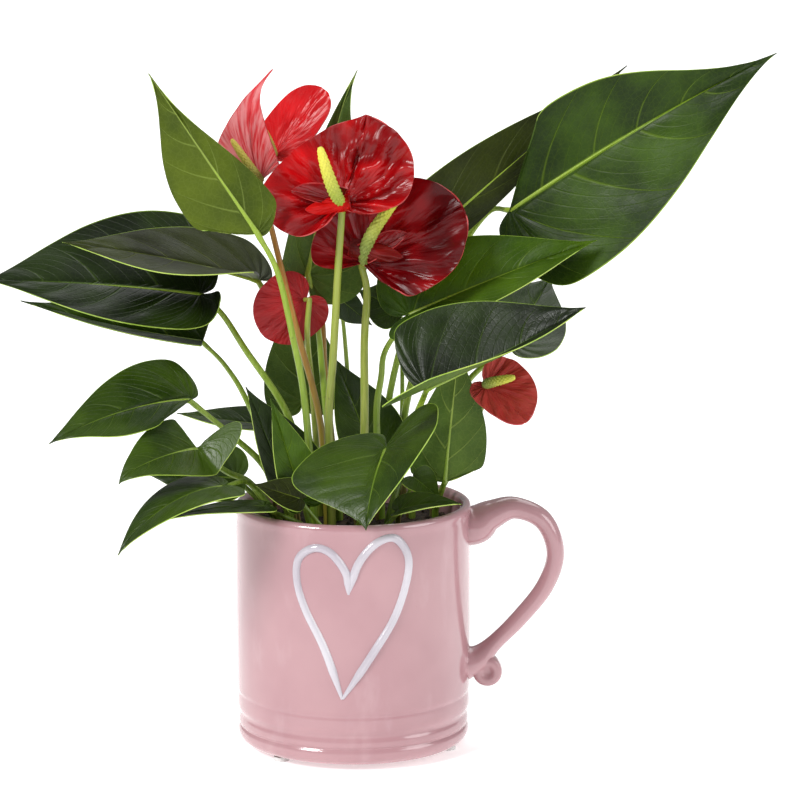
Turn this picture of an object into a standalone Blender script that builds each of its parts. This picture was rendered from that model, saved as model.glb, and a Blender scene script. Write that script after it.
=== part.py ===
"""A potted anthurium: a pink ceramic mug with a raised heart, soil, leaves and six flowers.

Metres, +Z up. The origin is on the surface that the mug stands on, on the mug's own axis.
+X points to the handle and -Y to the heart. Plant sizes and places are given in millimetres
and pass through mm().
"""
import math
from dataclasses import dataclass

import bmesh
import bpy
from mathutils import Matrix, Vector

MM = 0.001

# Mug
MUG_RADIUS = 0.0503
MUG_TOP = 0.1065
MUG_WALL = 0.0042
MUG_FLOOR = 0.0056
MUG_SEGMENTS = 40
PAD_HEIGHT = 0.0021
PAD_RADIUS = 0.0034
PAD_CIRCLE = 0.0420
PAD_COUNT = 3
PAD_FIRST_ANGLE = 224
HANDLE_FLATTEN = 1.3
SCROLL_RADIUS = 0.0064
SCROLL_WIDTH = 0.0110
SCROLL_CENTRE = (0.0574, 0.0, 0.0320)
DIMPLE_RADIUS = 0.0026
HEART_LINE_RADIUS = 0.00185
HEART_LINE_SINK = 0.0006

# Soil
GAP = 0.0003
SOIL_TOP = 0.0970
SOIL_EDGE = 0.0955
STEM_DEPTH = 0.0110
HOLE_SIDES = 8
HOLE_REACH = 0.0100

# Plant
BLADE_THICKNESS = 0.0008
STEM_SIDES = 6
STEM_STRAIGHT = 0.0040
VEIN_LEAN = 0.24
LOBE_HINGE = 0.10
NECK = 0.0044
PETIOLE_SINK = 0.5
PETIOLE_TAPER = 0.40
PEDUNCLE_TAPER = 0.25
SPADIX_SIDES = 8
SPADIX_RINGS = 12
SPADIX_BUMP = 0.06
SPADIX_FOOT = 0.06
SPADIX_BLUNT = 0.25
SPADIX_TAPER = 0.12


def mm(*values):
    """Turns millimetres into a vector in metres."""
    return Vector(values) * MM


def clear_scene():
    for item in list(bpy.data.objects):
        bpy.data.objects.remove(item, do_unlink=True)


def material(name, colour, roughness, coat=0.0):
    made = bpy.data.materials.new(name)
    made.use_nodes = True
    shader = made.node_tree.nodes["Principled BSDF"]
    shader.inputs["Base Color"].default_value = (*colour, 1.0)
    shader.inputs["Roughness"].default_value = roughness
    shader.inputs["Coat Weight"].default_value = coat
    return made


def new_object(name, mesh, finish, collection):
    item = bpy.data.objects.new(name, mesh)
    item.data.materials.clear()
    item.data.materials.append(finish)
    collection.objects.link(item)
    return item


def apply_modifiers(item):
    """Replaces an object's mesh by its evaluated one, and drops its modifiers."""
    graph = bpy.context.evaluated_depsgraph_get()
    mesh = bpy.data.meshes.new_from_object(item.evaluated_get(graph))
    item.modifiers.clear()
    item.data = mesh


def union(item, others, solver="EXACT"):
    """Joins other meshes to an object with one Boolean union, and removes them."""
    extras = bpy.data.collections.new(item.name + "_joined")
    for other in others:
        for holder in list(other.users_collection):
            holder.objects.unlink(other)
        extras.objects.link(other)
    bpy.context.scene.collection.children.link(extras)
    join = item.modifiers.new("join", "BOOLEAN")
    join.operation = "UNION"
    join.solver = solver
    join.operand_type = "COLLECTION"
    join.collection = extras
    apply_modifiers(item)
    for other in others:
        bpy.data.objects.remove(other, do_unlink=True)
    bpy.data.collections.remove(extras)


def tidy(item):
    """Merges points that lie almost on each other, and drops flaps with no thickness."""
    shape = bmesh.new()
    shape.from_mesh(item.data)
    bmesh.ops.remove_doubles(shape, verts=shape.verts, dist=0.00002)
    bmesh.ops.dissolve_degenerate(shape, edges=shape.edges, dist=0.00001)
    bmesh.ops.triangulate(shape, faces=shape.faces)
    sides = {}
    for face in shape.faces:
        sides.setdefault(frozenset(vert.index for vert in face.verts), []).append(face)
    flaps = [face for pair in sides.values() if len(pair) == 2 for face in pair]
    bmesh.ops.delete(shape, geom=flaps, context="FACES")
    shape.to_mesh(item.data)
    shape.free()


def smooth(a, b, c, d, t):
    """The point at t between b and c on a smooth curve that passes a, b, c and d."""
    return 0.5 * (2 * b + (c - a) * t + (2 * a - 5 * b + 4 * c - d) * t**2 + (3 * b - a - 3 * c + d) * t**3)


def spline(points, count):
    """A smooth curve through the points, as count + 1 points evenly spaced along their numbering."""
    curve = []
    last = len(points) - 1
    for step in range(count + 1):
        place = step * last / count
        index = min(int(place), last - 1)
        b = points[index]
        c = points[index + 1]
        a = points[index - 1] if index > 0 else b + (b - c)
        d = points[index + 2] if index + 2 <= last else c + (c - b)
        curve.append(smooth(a, b, c, d, place - index))
    return curve


def tube(name, points, radii, sides, finish, collection, flatten=1.0):
    """A closed tube as a mesh, from a curve with a bevel."""
    data = bpy.data.curves.new(name, "CURVE")
    data.dimensions = "3D"
    data.bevel_depth = 1.0
    data.bevel_resolution = sides // 2 - 2
    data.use_fill_caps = True
    line = data.splines.new("POLY")
    line.points.add(len(points) - 1)
    for point, place, radius in zip(line.points, points, radii):
        point.co = (place.x, place.y / flatten, place.z, 1.0)
        point.radius = radius
    guide = bpy.data.objects.new(name + "_line", data)
    collection.objects.link(guide)
    graph = bpy.context.evaluated_depsgraph_get()
    mesh = bpy.data.meshes.new_from_object(guide.evaluated_get(graph))
    bpy.data.objects.remove(guide, do_unlink=True)
    shape = bmesh.new()
    shape.from_mesh(mesh)
    bmesh.ops.scale(shape, vec=(1, flatten, 1), verts=shape.verts)
    bmesh.ops.remove_doubles(shape, verts=shape.verts, dist=1e-6)
    bmesh.ops.recalc_face_normals(shape, faces=shape.faces)
    shape.to_mesh(mesh)
    shape.free()
    return new_object(name, mesh, finish, collection)


# Leaf and spathe blades

# Half outlines, from the petiole round a lobe to the tip. The first value goes along the midrib,
# in lobe lengths behind the petiole and in blade lengths ahead of it. The second is across, in
# half widths.
LEAF_OUTLINE = (
    (0.00, 0.00), (-0.72, 0.10), (-1.00, 0.38), (-0.72, 0.72), (-0.02, 0.94), (0.17, 1.00),
    (0.34, 0.95), (0.52, 0.79), (0.69, 0.54), (0.84, 0.27), (0.94, 0.09), (1.00, 0.00),
)
SPATHE_OUTLINE = (
    (0.00, 0.00), (-0.62, 0.12), (-1.00, 0.40), (-0.80, 0.76), (-0.05, 0.98), (0.22, 1.00),
    (0.44, 0.90), (0.64, 0.70), (0.80, 0.45), (0.92, 0.20), (0.98, 0.07), (1.00, 0.00),
)
ROUND_OUTLINE = (
    (0.00, 0.00), (-0.62, 0.12), (-1.00, 0.40), (-0.80, 0.76), (-0.05, 0.98), (0.30, 1.00),
    (0.54, 0.93), (0.74, 0.78), (0.89, 0.55), (0.97, 0.30), (1.00, 0.12), (1.00, 0.00),
)


@dataclass
class Blade:
    """One blade, in millimetres and degrees. Pairs are (left, right) of the midrib, seen from above.

    The midrib runs from base to tip, raised in its middle by arch and moved sideways by sway. Each
    half has a width, a lobe length, a fold up from the midrib, and a cup that curls it further.
    Lift raises a lobe, sweep moves a half's edge forward, and slim narrows it towards the tip.
    Open is how much of the fold is gone at the tip. Hook bends the midrib's last third, up and to
    the right. Wave is the margin's ripple, as its height, how many there are and where they start.
    """

    base: tuple
    tip: tuple
    face: tuple
    width: tuple
    lobe: tuple = (0.14, 0.14)
    fold: tuple = (12, 12)
    cup: tuple = (10, 10)
    lift: tuple = (0, 0)
    sweep: tuple = (0.0, 0.0)
    slim: tuple = (0.2, 0.2)
    arch: float = 0.0
    sway: float = 0.0
    open: float = 0.3
    hook: tuple = (0, 0)
    wave: tuple = (0.0, 3.0, 0.0)
    outline: tuple = LEAF_OUTLINE

    def midrib(self, along):
        """The point on the midrib, and the directions along, up from and across the blade there."""
        base = mm(*self.base)
        chord = mm(*self.tip) - base
        ahead = chord.normalized()
        up = Vector(self.face)
        up = (up - ahead * up.dot(ahead)).normalized()
        across = ahead.cross(up)

        def place(t):
            bow = (up * self.arch + across * self.sway) * MM * 4 * t * (1 - t)
            late = max(0.0, t - 0.67) / 0.33
            return base + chord * t + bow + (up * self.hook[0] + across * self.hook[1]) * MM * late**2

        here = max(along, 0.0)
        step = 0.01
        ahead = (place(here + step) - place(here - step)).normalized()
        up = (up - ahead * up.dot(ahead)).normalized()
        return place(here), ahead, up, ahead.cross(up)

    def half_outline(self, t, side):
        """The outline's point at t, from 0 at the petiole to 1 at the tip, as along and across."""
        lobe = self.lobe[side]
        points = [Vector((u * lobe if u < 0 else u, w)) for u, w in self.outline]
        last = len(points) - 1
        place = t * last
        index = min(int(place), last - 1)
        b = points[index]
        c = points[index + 1]
        a = points[index - 1] if index > 0 else b
        d = points[index + 2] if index + 2 <= last else c
        edge = smooth(a, b, c, d, place - index)
        ahead = max(0.001, 1 - max(edge.x, 0.0))
        return Vector((edge.x + self.sweep[side] * edge.y * ahead, edge.y * ahead ** self.slim[side]))

    def point(self, t, across):
        """A point of the blade: t runs along the margin, across from -1 at the left one to 1."""
        side = 1 if across > 0 else 0
        part = abs(across)
        edge = self.half_outline(t, side)
        root = max(0.0, (edge.x - VEIN_LEAN) / (1 - VEIN_LEAN))
        along = root + (edge.x - root) * part
        reach = edge.y * part * self.width[side] * MM
        place, ahead, up, right = self.midrib(along)
        if along < 0:
            length = (mm(*self.tip) - mm(*self.base)).length
            back = -along * length
            turn = math.radians(self.lift[side]) * min(1.0, back / (LOBE_HINGE * length))
            place += up * back * math.sin(turn) - ahead * back * math.cos(turn)
        first = math.radians(self.fold[side]) * (1 - self.open * max(0.0, along))
        bend = math.radians(self.cup[side]) / (self.width[side] * MM)
        if abs(bend) < 1e-6:
            flat = reach * math.cos(first)
            rise = reach * math.sin(first)
        else:
            flat = (math.sin(first + bend * reach) - math.sin(first)) / bend
            rise = (math.cos(first) - math.cos(first + bend * reach)) / bend
        height, count, phase = self.wave
        swell = math.sin(math.pi * min(1.0, t * 1.15))
        ripple = height * MM * part**2 * swell * math.sin(math.tau * (count * t + phase) + side * 1.3)
        return place + right * flat * (1 if side else -1) + up * (rise + ripple)


def blade_object(name, form, columns, rows, finish, collection):
    """A thin solid blade: a grid laid on the form, split into triangles, then given its thickness."""
    shape = bmesh.new()
    bmesh.ops.create_grid(shape, x_segments=columns, y_segments=2 * rows, size=1.0)
    for vert in shape.verts:
        vert.co = form.point((vert.co.x + 1) / 2, vert.co.y)
    bmesh.ops.remove_doubles(shape, verts=shape.verts, dist=1e-6)
    bmesh.ops.triangulate(shape, faces=shape.faces)
    mesh = bpy.data.meshes.new(name)
    shape.to_mesh(mesh)
    shape.free()
    item = new_object(name, mesh, finish, collection)
    thicken = item.modifiers.new("thickness", "SOLIDIFY")
    thicken.thickness = BLADE_THICKNESS
    thicken.offset = 0.0
    apply_modifiers(item)
    return item


# Leaves: where each petiole leaves the soil, the points it passes, and the blade

@dataclass
class Leaf:
    """A blade on its petiole. Root is on the soil, and thick is the petiole's radius there."""

    root: tuple
    stem: tuple
    blade: Blade
    thick: float = 1.7
    columns: int = 10
    rows: int = 2


LEAVES = {
    "leaf_high_right": Leaf(
        root=(18, 13), stem=((24, 20, 150), (42, 34, 200), (57, 36, 224)), columns=13, rows=3,
        blade=Blade((67, 27, 227), (178, 5, 297), (-0.1, -1, 0.25), (34, 45), (0.0, 0.1), (30, 4), (20, 12),
                    sweep=(0.32, 0.06), slim=(0.45, 0.22), arch=3, sway=-2),
    ),
    "leaf_high_back_right": Leaf(
        root=(10, 22), stem=((16, 22, 150), (28, 23, 197)), columns=12,
        blade=Blade((34, 16, 219), (118, 60, 285), (0.1, -1, 0.35), (20, 10), (0.1, 0.06), (6, -20), (10, 10),
                    slim=(0.35, 0.3), arch=2),
    ),
    "leaf_middle_right": Leaf(
        root=(12, 3), stem=((10, 3, 141), (12, 3, 159), (14, 3, 171)), columns=12,
        blade=Blade((24, 4, 186), (103, 2, 218), (-0.25, -0.9, 0.45), (26, 22), (0.12, 0.12), (8, 34), (14, 20),
                    arch=3),
    ),
    "leaf_front_right": Leaf(
        root=(15, -18), stem=((25, -15, 140), (30, -24, 156)), columns=11,
        blade=Blade((31, -42, 163), (97, -36, 196), (-0.3, -0.7, 0.7), (33, 26), (0.08, 0.28), (6, 50),
                    (16, 20), slim=(0.05, 0.2), arch=-2),
    ),
    "leaf_back_right": Leaf(
        root=(25, 10), stem=((46, 18, 150),),
        blade=Blade((68, 22, 170), (86, 70, 191), (0.1, -0.7, 0.7), (24, 21), (0.2, 0.16)),
    ),
    "leaf_upright_right": Leaf(
        root=(35, 2), stem=(), thick=1.5,
        blade=Blade((39, -6, 116), (45, -8, 176), (0, 1, 0.1), (17, 16), (0.02, 0.02), (6, 6), sweep=(0.14, 0.04)),
    ),
    "leaf_front_centre": Leaf(
        root=(3, -24), stem=((8, -33, 122),), columns=13, rows=3,
        blade=Blade((14, -40, 137), (6, -66, 108), (-0.45, -0.8, 0.4), (26, 37), (0.54, 0.34), (8, 8), (14, 10),
                    sweep=(-0.2, 0.4), slim=(0.35, 0.25), arch=3),
    ),
    "leaf_young_upright": Leaf(
        root=(-18, -25), stem=(), thick=1.3, columns=9,
        blade=Blade((-21, -28, 113), (-34, -34, 157), (0.3, -1, 0.1), (10, 12), (0.1, 0.1), (20, 20)),
    ),
    "leaf_dark_upright": Leaf(
        root=(-26, -10), stem=(), thick=1.4, columns=9,
        blade=Blade((-27, -10, 112), (-45, -12, 158), (0.4, -1, 0.1), (9, 20), (0.1, 0.1), (20, 12)),
    ),
    "leaf_small_rim": Leaf(
        root=(-12, -33), stem=(), thick=1.1, columns=9,
        blade=Blade((-22, -36, 115), (-41, -40, 122), (0.3, -0.9, 0.4), (7, 8)),
    ),
    "leaf_low_left": Leaf(
        root=(-22, -22), stem=(), thick=1.3, columns=9,
        blade=Blade((-37, -33, 111), (-79, -48, 108), (0, -0.1, 1), (10, 8), (0.1, 0.1), (6, 6), (-8, -8),
                    arch=2),
    ),
    "leaf_low_drooping": Leaf(
        root=(-31, -15), stem=((-43, -24, 119),), thick=1.5, columns=10,
        blade=Blade((-54, -44, 122), (-96, -68, 98), (0, -0.12, 1), (17, 17), (0.1, 0.1), (4, 4), (-6, -6),
                    arch=7),
    ),
    "leaf_low_back_left": Leaf(
        root=(-34, -2), stem=(), thick=1.5,
        blade=Blade((-50, -4, 117), (-89, 8, 116), (0, -0.9, 0.5), (13, 14)),
    ),
    "leaf_left_heart": Leaf(
        root=(-33, -9), stem=((-43, -16, 117), (-53, -24, 124)),
        blade=Blade((-65, -34, 136), (-98, -61, 128), (0.1, -0.55, 0.85), (16, 16), (0.5, 0.0), (-16, 18),
                    lift=(52, 0), sweep=(0, 0.1), slim=(0.2, 0.2), arch=3, open=1.5, hook=(-5, 0)),
    ),
    "leaf_left": Leaf(
        root=(-28, 3), stem=((-38, -3, 122), (-51, -8, 136)), columns=12,
        blade=Blade((-68, -15, 153), (-126, -40, 139), (0, -0.6, 0.8), (17, 24), (0.0, 0.1), (6, 0),
                    sweep=(0.4, 0), arch=6),
    ),
    "leaf_back_left": Leaf(
        root=(-24, 14), stem=(), thick=1.4, columns=9,
        blade=Blade((-39, 25, 134), (-77, 45, 135), (0, -0.4, 0.9), (10, 10)),
    ),
    "leaf_far_left": Leaf(
        root=(-18, 3), stem=((-27, 3, 141), (-46, 6, 171), (-56, 8, 186)), columns=13, rows=3,
        blade=Blade((-65, 8, 194), (-154, -10, 203), (0.05, -0.6, 0.8), (25, 42), (0.14, 0.1), (2, 4), (6, 10),
                    lift=(45, 0), sweep=(0.1, 0), slim=(0.1, 0.1), arch=2),
    ),
    "leaf_olive_left": Leaf(
        root=(-8, 18), stem=((-20, 22, 160),), columns=12,
        blade=Blade((-40, 20, 198), (-120, -28, 222), (0, -0.5, 0.85), (30, 26), (0.0, 0.1), (42, 4), (10, 10),
                    sweep=(0.25, 0), open=1.2, arch=2),
    ),
    "leaf_under_left": Leaf(
        root=(-26, 9), stem=((-44, 9, 145), (-54, 11, 162)), thick=1.4,
        blade=Blade((-64, 12, 173), (-142, 20, 189), (0.1, -0.5, 0.85), (9, 20), (0.0, 0.0), (20, 10), arch=-2),
    ),
    "leaf_high_left": Leaf(
        root=(-16, -17), stem=((-20, -19, 153), (-25, -22, 182), (-31, -29, 210)), columns=13, rows=3,
        blade=Blade((-39, -34, 227), (-83, -40, 294), (0, 1, 0.1), (15, 24), (0.06, 0.02), (10, 10), (14, 14),
                    sweep=(0.1, 0.2), slim=(0.9, 0.25)),
    ),
    "leaf_high_centre": Leaf(
        root=(-6, 2), stem=((-11, 2, 142), (-13, 4, 162), (-15, 5, 182)), columns=11,
        blade=Blade((-19, 5, 203), (-2, 34, 287), (0.1, 1, 0), (26, 13), (0.12, 0.02), (10, 10), (14, 14),
                    slim=(0.5, 0.35), hook=(0, -4)),
    ),
    "leaf_small_behind": Leaf(
        root=(1, 22), stem=((-3, 20, 165),), thick=1.2, columns=8,
        blade=Blade((-5, 16, 190), (8, 22, 178), (0, -1, 0.5), (6, 8)),
    ),
    "leaf_behind_middle": Leaf(
        root=(20, 22), stem=((21, 24, 150),), thick=1.2, columns=9,
        blade=Blade((20, 28, 184), (2, 40, 190), (0, -1, 0.3), (12, 12)),
    ),
    "leaf_back_centre": Leaf(
        root=(-14, 30), stem=(), thick=1.4,
        blade=Blade((-22, 38, 142), (-24, 46, 190), (0, 1, 0.2), (18, 18)),
    ),
    "leaf_dark_centre": Leaf(
        root=(8, 11), stem=(), thick=1.4,
        blade=Blade((8, 13, 125), (-8, 18, 165), (0.1, -1, 0.2), (13, 18)),
    ),
    "leaf_right_rim": Leaf(
        root=(13, -32), stem=(), thick=1.1, columns=9,
        blade=Blade((20, -31, 109), (46, -34, 112), (0, -0.4, 1), (8, 8), arch=2),
    ),
    "leaf_small_right": Leaf(
        root=(19, -14), stem=(), thick=1.1, columns=9,
        blade=Blade((26, -18, 120), (37, -27, 113), (0, -0.6, 0.8), (8, 8)),
    ),
}


@dataclass
class Flower:
    """A spathe on its stem. The spadix starts at the spathe's base: middle control point, and tip."""

    root: tuple
    stem: tuple
    spathe: Blade
    spadix: tuple
    thick: float = 1.9
    spadix_radius: float = 2.7


FLOWERS = {
    "flower_large": Flower(
        root=(-9, -13), stem=((-10, -13, 144), (-8, -15, 172), (-6, -15, 207)),
        spathe=Blade((-4, -21, 237), (6, -14, 273), (-0.1, -1, 0.25), (34, 27), (0.48, 0.14), (2, 6), (8, 14),
                     (20, 30), (-0.05, 0.24), (0.42, 0), wave=(2.2, 3.0, 0.2), outline=ROUND_OUTLINE),
        spadix=((-8, -33, 243), (-13, -35, 263)),
    ),
    "flower_dark": Flower(
        root=(4, -12), stem=((5, -10, 143), (5, -6, 176), (6, 0, 196)),
        spathe=Blade((5, -6, 210), (46, -8, 234), (-0.1, -1, 0.25), (26, 24), (0.45, 0.06), (2, 6), (4, 14),
                     (20, 20), (0.12, 0.26), (0, 0), wave=(0.8, 2.0, 0.5), outline=ROUND_OUTLINE),
        spadix=((4, -17, 222), (20, -15, 239)),
    ),
    "flower_upright": Flower(
        root=(-11, -5), stem=((-14, -6, 143), (-24, -13, 185), (-33, -4, 220)),
        spathe=Blade((-38, -7, 245), (-38, -4, 291), (0.3, -1, 0.1), (20, 11), (0.0, 0.0), (10, 34), (10, 20),
                     (20, 20), (0.2, 0.1), (1.1, 0.5), sway=-5, hook=(0, 5), outline=SPATHE_OUTLINE),
        spadix=((-42, -18, 251), (-50, -19, 264)), spadix_radius=1.8, thick=1.5,
    ),
    "flower_behind": Flower(
        root=(-6, 8), stem=((-12, 14, 158), (-14, 21, 185), (-24, 26, 228)),
        spathe=Blade((-33, 18, 252), (-12, 22, 279), (-0.3, -1, 0.3), (12, 10), (0.2, 0.1), (6, 6), (20, 20),
                     (20, 20), (0.1, 0.2), (-0.1, -0.1), outline=ROUND_OUTLINE),
        spadix=((-34, 10, 256), (-38, 8, 266)), spadix_radius=1.8, thick=1.5,
    ),
    "flower_low_back": Flower(
        root=(-14, 12), stem=((-17, 5, 150), (-19, -9, 178)),
        spathe=Blade((-20, -5, 194), (-38, -4, 179), (0, 1, 0.2), (16, 15), (0.3, 0.3), (4, 4), (10, 10),
                     (20, 20), (0.1, 0.1), (0, 0), outline=ROUND_OUTLINE),
        spadix=((-22, 4, 192), (-31, 6, 184)), spadix_radius=1.8, thick=1.5,
    ),
    "flower_small_right": Flower(
        root=(34, 14), stem=((46, 10, 125), (56, 0, 150)),
        spathe=Blade((56, -20, 160), (73, -32, 147), (0.1, -0.9, 0.5), (16, 10), (0.3, 0.2), (12, 12), (20, 20),
                     (20, 20), (0.1, 0.1), (0, 0), outline=ROUND_OUTLINE),
        spadix=((56, -30, 163), (68, -33, 166)), spadix_radius=2.2, thick=1.3,
    ),
}


def stem_line(root, middle, end, radius, taper):
    """A stem's points and radii: straight up in its hole, then a smooth curve to its end."""
    x, y = root[0] * MM, root[1] * MM
    foot = Vector((x, y, SOIL_TOP - STEM_DEPTH))
    route = [Vector((x, y, SOIL_TOP + STEM_STRAIGHT))] + [mm(*point) for point in middle] + [end]
    points = [foot] + spline(route, 3 * (len(route) - 1))
    radii = [radius * (1 - taper * step / (len(points) - 1)) for step in range(len(points))]
    return points, radii


def build_leaf(name, leaf, finish, collection):
    """A blade with its petiole, whose last bit runs under the midrib and sinks into the blade."""
    blade = blade_object(name, leaf.blade, leaf.columns, leaf.rows, finish, collection)
    base, _, up, _ = leaf.blade.midrib(0.0)
    under, _, above, _ = leaf.blade.midrib(0.08)
    radius = leaf.thick * MM
    sink = PETIOLE_SINK * radius
    points, radii = stem_line(leaf.root, leaf.stem, base - up * sink, radius, PETIOLE_TAPER)
    points.append(under - above * 0.66 * sink)
    radii.append(0.35 * radius)
    petiole = tube(name + "_petiole", points, radii, STEM_SIDES, finish, collection)
    union(blade, [petiole], "MANIFOLD")
    tidy(blade)


def build_spadix(name, flower, finish, collection):
    """A tapering spike that rises from the spathe's base, its florets a lattice of small bumps."""
    base, _, up, _ = flower.spathe.midrib(0.0)
    a = base + up * (0.5 * BLADE_THICKNESS + GAP)
    b, c = [mm(*point) for point in flower.spadix]
    shape = bmesh.new()
    bmesh.ops.create_uvsphere(shape, u_segments=SPADIX_SIDES, v_segments=SPADIX_RINGS, radius=1.0)
    side = (b - a).cross(c - a).normalized()
    for vert in shape.verts:
        height = math.acos(max(-1.0, min(1.0, -vert.co.z))) / math.pi
        turn = math.atan2(vert.co.y, vert.co.x)
        place = a * (1 - height) ** 2 + b * 2 * height * (1 - height) + c * height**2
        ahead = ((b - a) * (1 - height) + (c - b) * height).normalized()
        out = ahead.cross(side).normalized()
        ring = round(height * SPADIX_RINGS)
        spoke = round(turn / math.tau * SPADIX_SIDES)
        bump = 1 + (SPADIX_BUMP if (ring + spoke) % 2 else -SPADIX_BUMP)
        reach = 0.0
        if 0 < ring < SPADIX_RINGS:
            swell = math.sin(math.pi * (SPADIX_FOOT + (1 - SPADIX_FOOT) * height)) ** SPADIX_BLUNT
            reach = flower.spadix_radius * MM * swell * bump * (1 - SPADIX_TAPER * height)
        vert.co = place + (side * math.cos(turn) + out * math.sin(turn)) * reach
    mesh = bpy.data.meshes.new(name)
    shape.to_mesh(mesh)
    shape.free()
    return new_object(name, mesh, finish, collection)


def build_flower(name, flower, finishes, collection):
    """A spathe, the spadix in front of it, and the stem that ends in a thin neck just behind it."""
    stem_finish, spathe_finish, spadix_finish = finishes
    blade_object(name + "_spathe", flower.spathe, 12, 3, spathe_finish, collection)
    build_spadix(name + "_spadix", flower, spadix_finish, collection)
    base, ahead, up, _ = flower.spathe.midrib(0.0)
    neck = base - up * NECK - ahead * 0.5 * NECK
    points, radii = stem_line(flower.root, flower.stem, neck, flower.thick * MM, PEDUNCLE_TAPER)
    points.append(base - up * (0.5 * BLADE_THICKNESS + GAP))
    radii.append(radii[-1] * 0.8)
    tube(name + "_stem", points, radii, STEM_SIDES, stem_finish, collection)


# Mug

# The profile from the middle of the inner floor, up the wall, over the rim and down the outside,
# as radius and height.
MUG_PROFILE = (
    (0.0, PAD_HEIGHT + MUG_FLOOR),
    (MUG_RADIUS - MUG_WALL - 0.005, PAD_HEIGHT + MUG_FLOOR),
    (MUG_RADIUS - MUG_WALL, PAD_HEIGHT + MUG_FLOOR + 0.006),
    (MUG_RADIUS - MUG_WALL, MUG_TOP - 0.0030),
    (MUG_RADIUS - MUG_WALL + 0.0007, MUG_TOP - 0.0008),
    (MUG_RADIUS - 0.0021, MUG_TOP),
    (MUG_RADIUS - 0.0003, MUG_TOP - 0.0008),
    (MUG_RADIUS + 0.0003, MUG_TOP - 0.0028),
    (MUG_RADIUS - 0.0001, MUG_TOP - 0.0052),
    (MUG_RADIUS, 0.0900),
    (MUG_RADIUS - 0.0006, 0.0247),
    (MUG_RADIUS - 0.0010, 0.0239),
    (MUG_RADIUS - 0.0006, 0.0231),
    (MUG_RADIUS - 0.0007, 0.0175),
    (MUG_RADIUS - 0.0018, 0.0155),
    (MUG_RADIUS - 0.0018, 0.0143),
    (MUG_RADIUS - 0.0013, 0.0128),
    (MUG_RADIUS - 0.0013, 0.0105),
    (MUG_RADIUS - 0.0018, 0.0097),
    (MUG_RADIUS - 0.0012, 0.0088),
    (MUG_RADIUS - 0.0011, 0.0064),
    (MUG_RADIUS - 0.0020, 0.0042),
    (MUG_RADIUS - 0.0040, PAD_HEIGHT),
    (0.0, PAD_HEIGHT),
)

# The handle's middle line, as x, z and radius: a flared root, a loop and a flared lower end.
HANDLE_LINE = (
    (0.0464, 0.0950, 0.0092), (0.0530, 0.0962, 0.0084), (0.0590, 0.1000, 0.0064), (0.0690, 0.1030, 0.0047),
    (0.0810, 0.0975, 0.0042), (0.0863, 0.0837, 0.0039), (0.0820, 0.0690, 0.0038), (0.0711, 0.0548, 0.0036),
    (0.0600, 0.0435, 0.0036), (0.0535, 0.0372, 0.0058), (0.0478, 0.0352, 0.0076),
)

# The raised heart's two lines on the mug's front, as distance round the mug and height.
HEART_LEFT = (
    (-1.4, 77.5), (-2.4, 86.0), (-8.8, 94.5), (-16.3, 96.3), (-23.1, 91.3), (-23.9, 81.5), (-20.0, 69.6),
    (-11.8, 53.6), (-4.4, 33.0),
)
HEART_RIGHT = (
    (-1.2, 79.0), (2.8, 90.3), (10.3, 98.7), (18.4, 100.4), (24.2, 92.8), (23.9, 82.5), (18.4, 66.9),
    (9.1, 52.0), (-3.0, 35.6),
)


def turned(name, profile, segments, finish, collection):
    """A turned solid: a profile swept round the Z axis."""
    mesh = bpy.data.meshes.new(name)
    edges = [(index, index + 1) for index in range(len(profile) - 1)]
    mesh.from_pydata([(radius, 0.0, height) for radius, height in profile], edges, [])
    item = new_object(name, mesh, finish, collection)
    sweep = item.modifiers.new("sweep", "SCREW")
    sweep.steps = segments
    sweep.render_steps = segments
    sweep.use_merge_vertices = True
    sweep.merge_threshold = 0.00001
    apply_modifiers(item)
    return item


def on_wall(around, height):
    """A point just under the mug's outer wall, from a distance round it and a height, in millimetres."""
    radius = MUG_RADIUS - HEART_LINE_SINK
    angle = around * MM / MUG_RADIUS
    return Vector((radius * math.sin(angle), -radius * math.cos(angle), height * MM))


def heart_line(name, corners, finish, collection):
    points = spline([on_wall(*corner) for corner in corners], 16)
    radii = [HEART_LINE_RADIUS] * len(points)
    return tube(name, points, radii, 6, finish, collection)


def scroll(finish, collection):
    """The rolled end of the handle, a short round bar with a dimple in each end."""
    x, y, z = SCROLL_CENTRE
    half = SCROLL_WIDTH / 2
    profile = (
        (0.0, half - 0.0012), (DIMPLE_RADIUS * 0.6, half - 0.0011), (DIMPLE_RADIUS, half),
        (SCROLL_RADIUS - 0.0015, half), (SCROLL_RADIUS, half - 0.0015),
        (SCROLL_RADIUS, 0.0015 - half), (SCROLL_RADIUS - 0.0015, -half),
        (DIMPLE_RADIUS, -half), (DIMPLE_RADIUS * 0.6, 0.0011 - half), (0.0, 0.0012 - half),
    )
    item = turned("scroll", profile, 16, finish, collection)
    item.data.transform(Matrix.Translation((x, y, z)) @ Matrix.Rotation(math.radians(90), 4, "X"))
    return item


def build_mug(finish, collection):
    mug = turned("mug", MUG_PROFILE, MUG_SEGMENTS, finish, collection)
    places = spline([Vector((x, 0.0, z)) for x, z, _ in HANDLE_LINE], 18)
    radii = [value.x for value in spline([Vector((radius, 0.0)) for _, _, radius in HANDLE_LINE], 18)]
    handle = tube("handle", places, radii, 10, finish, collection, HANDLE_FLATTEN)
    lines = [
        heart_line("heart_left", HEART_LEFT, finish, collection),
        heart_line("heart_right", HEART_RIGHT, finish, collection),
    ]
    union(mug, [handle, scroll(finish, collection)] + lines)
    return mug


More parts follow.
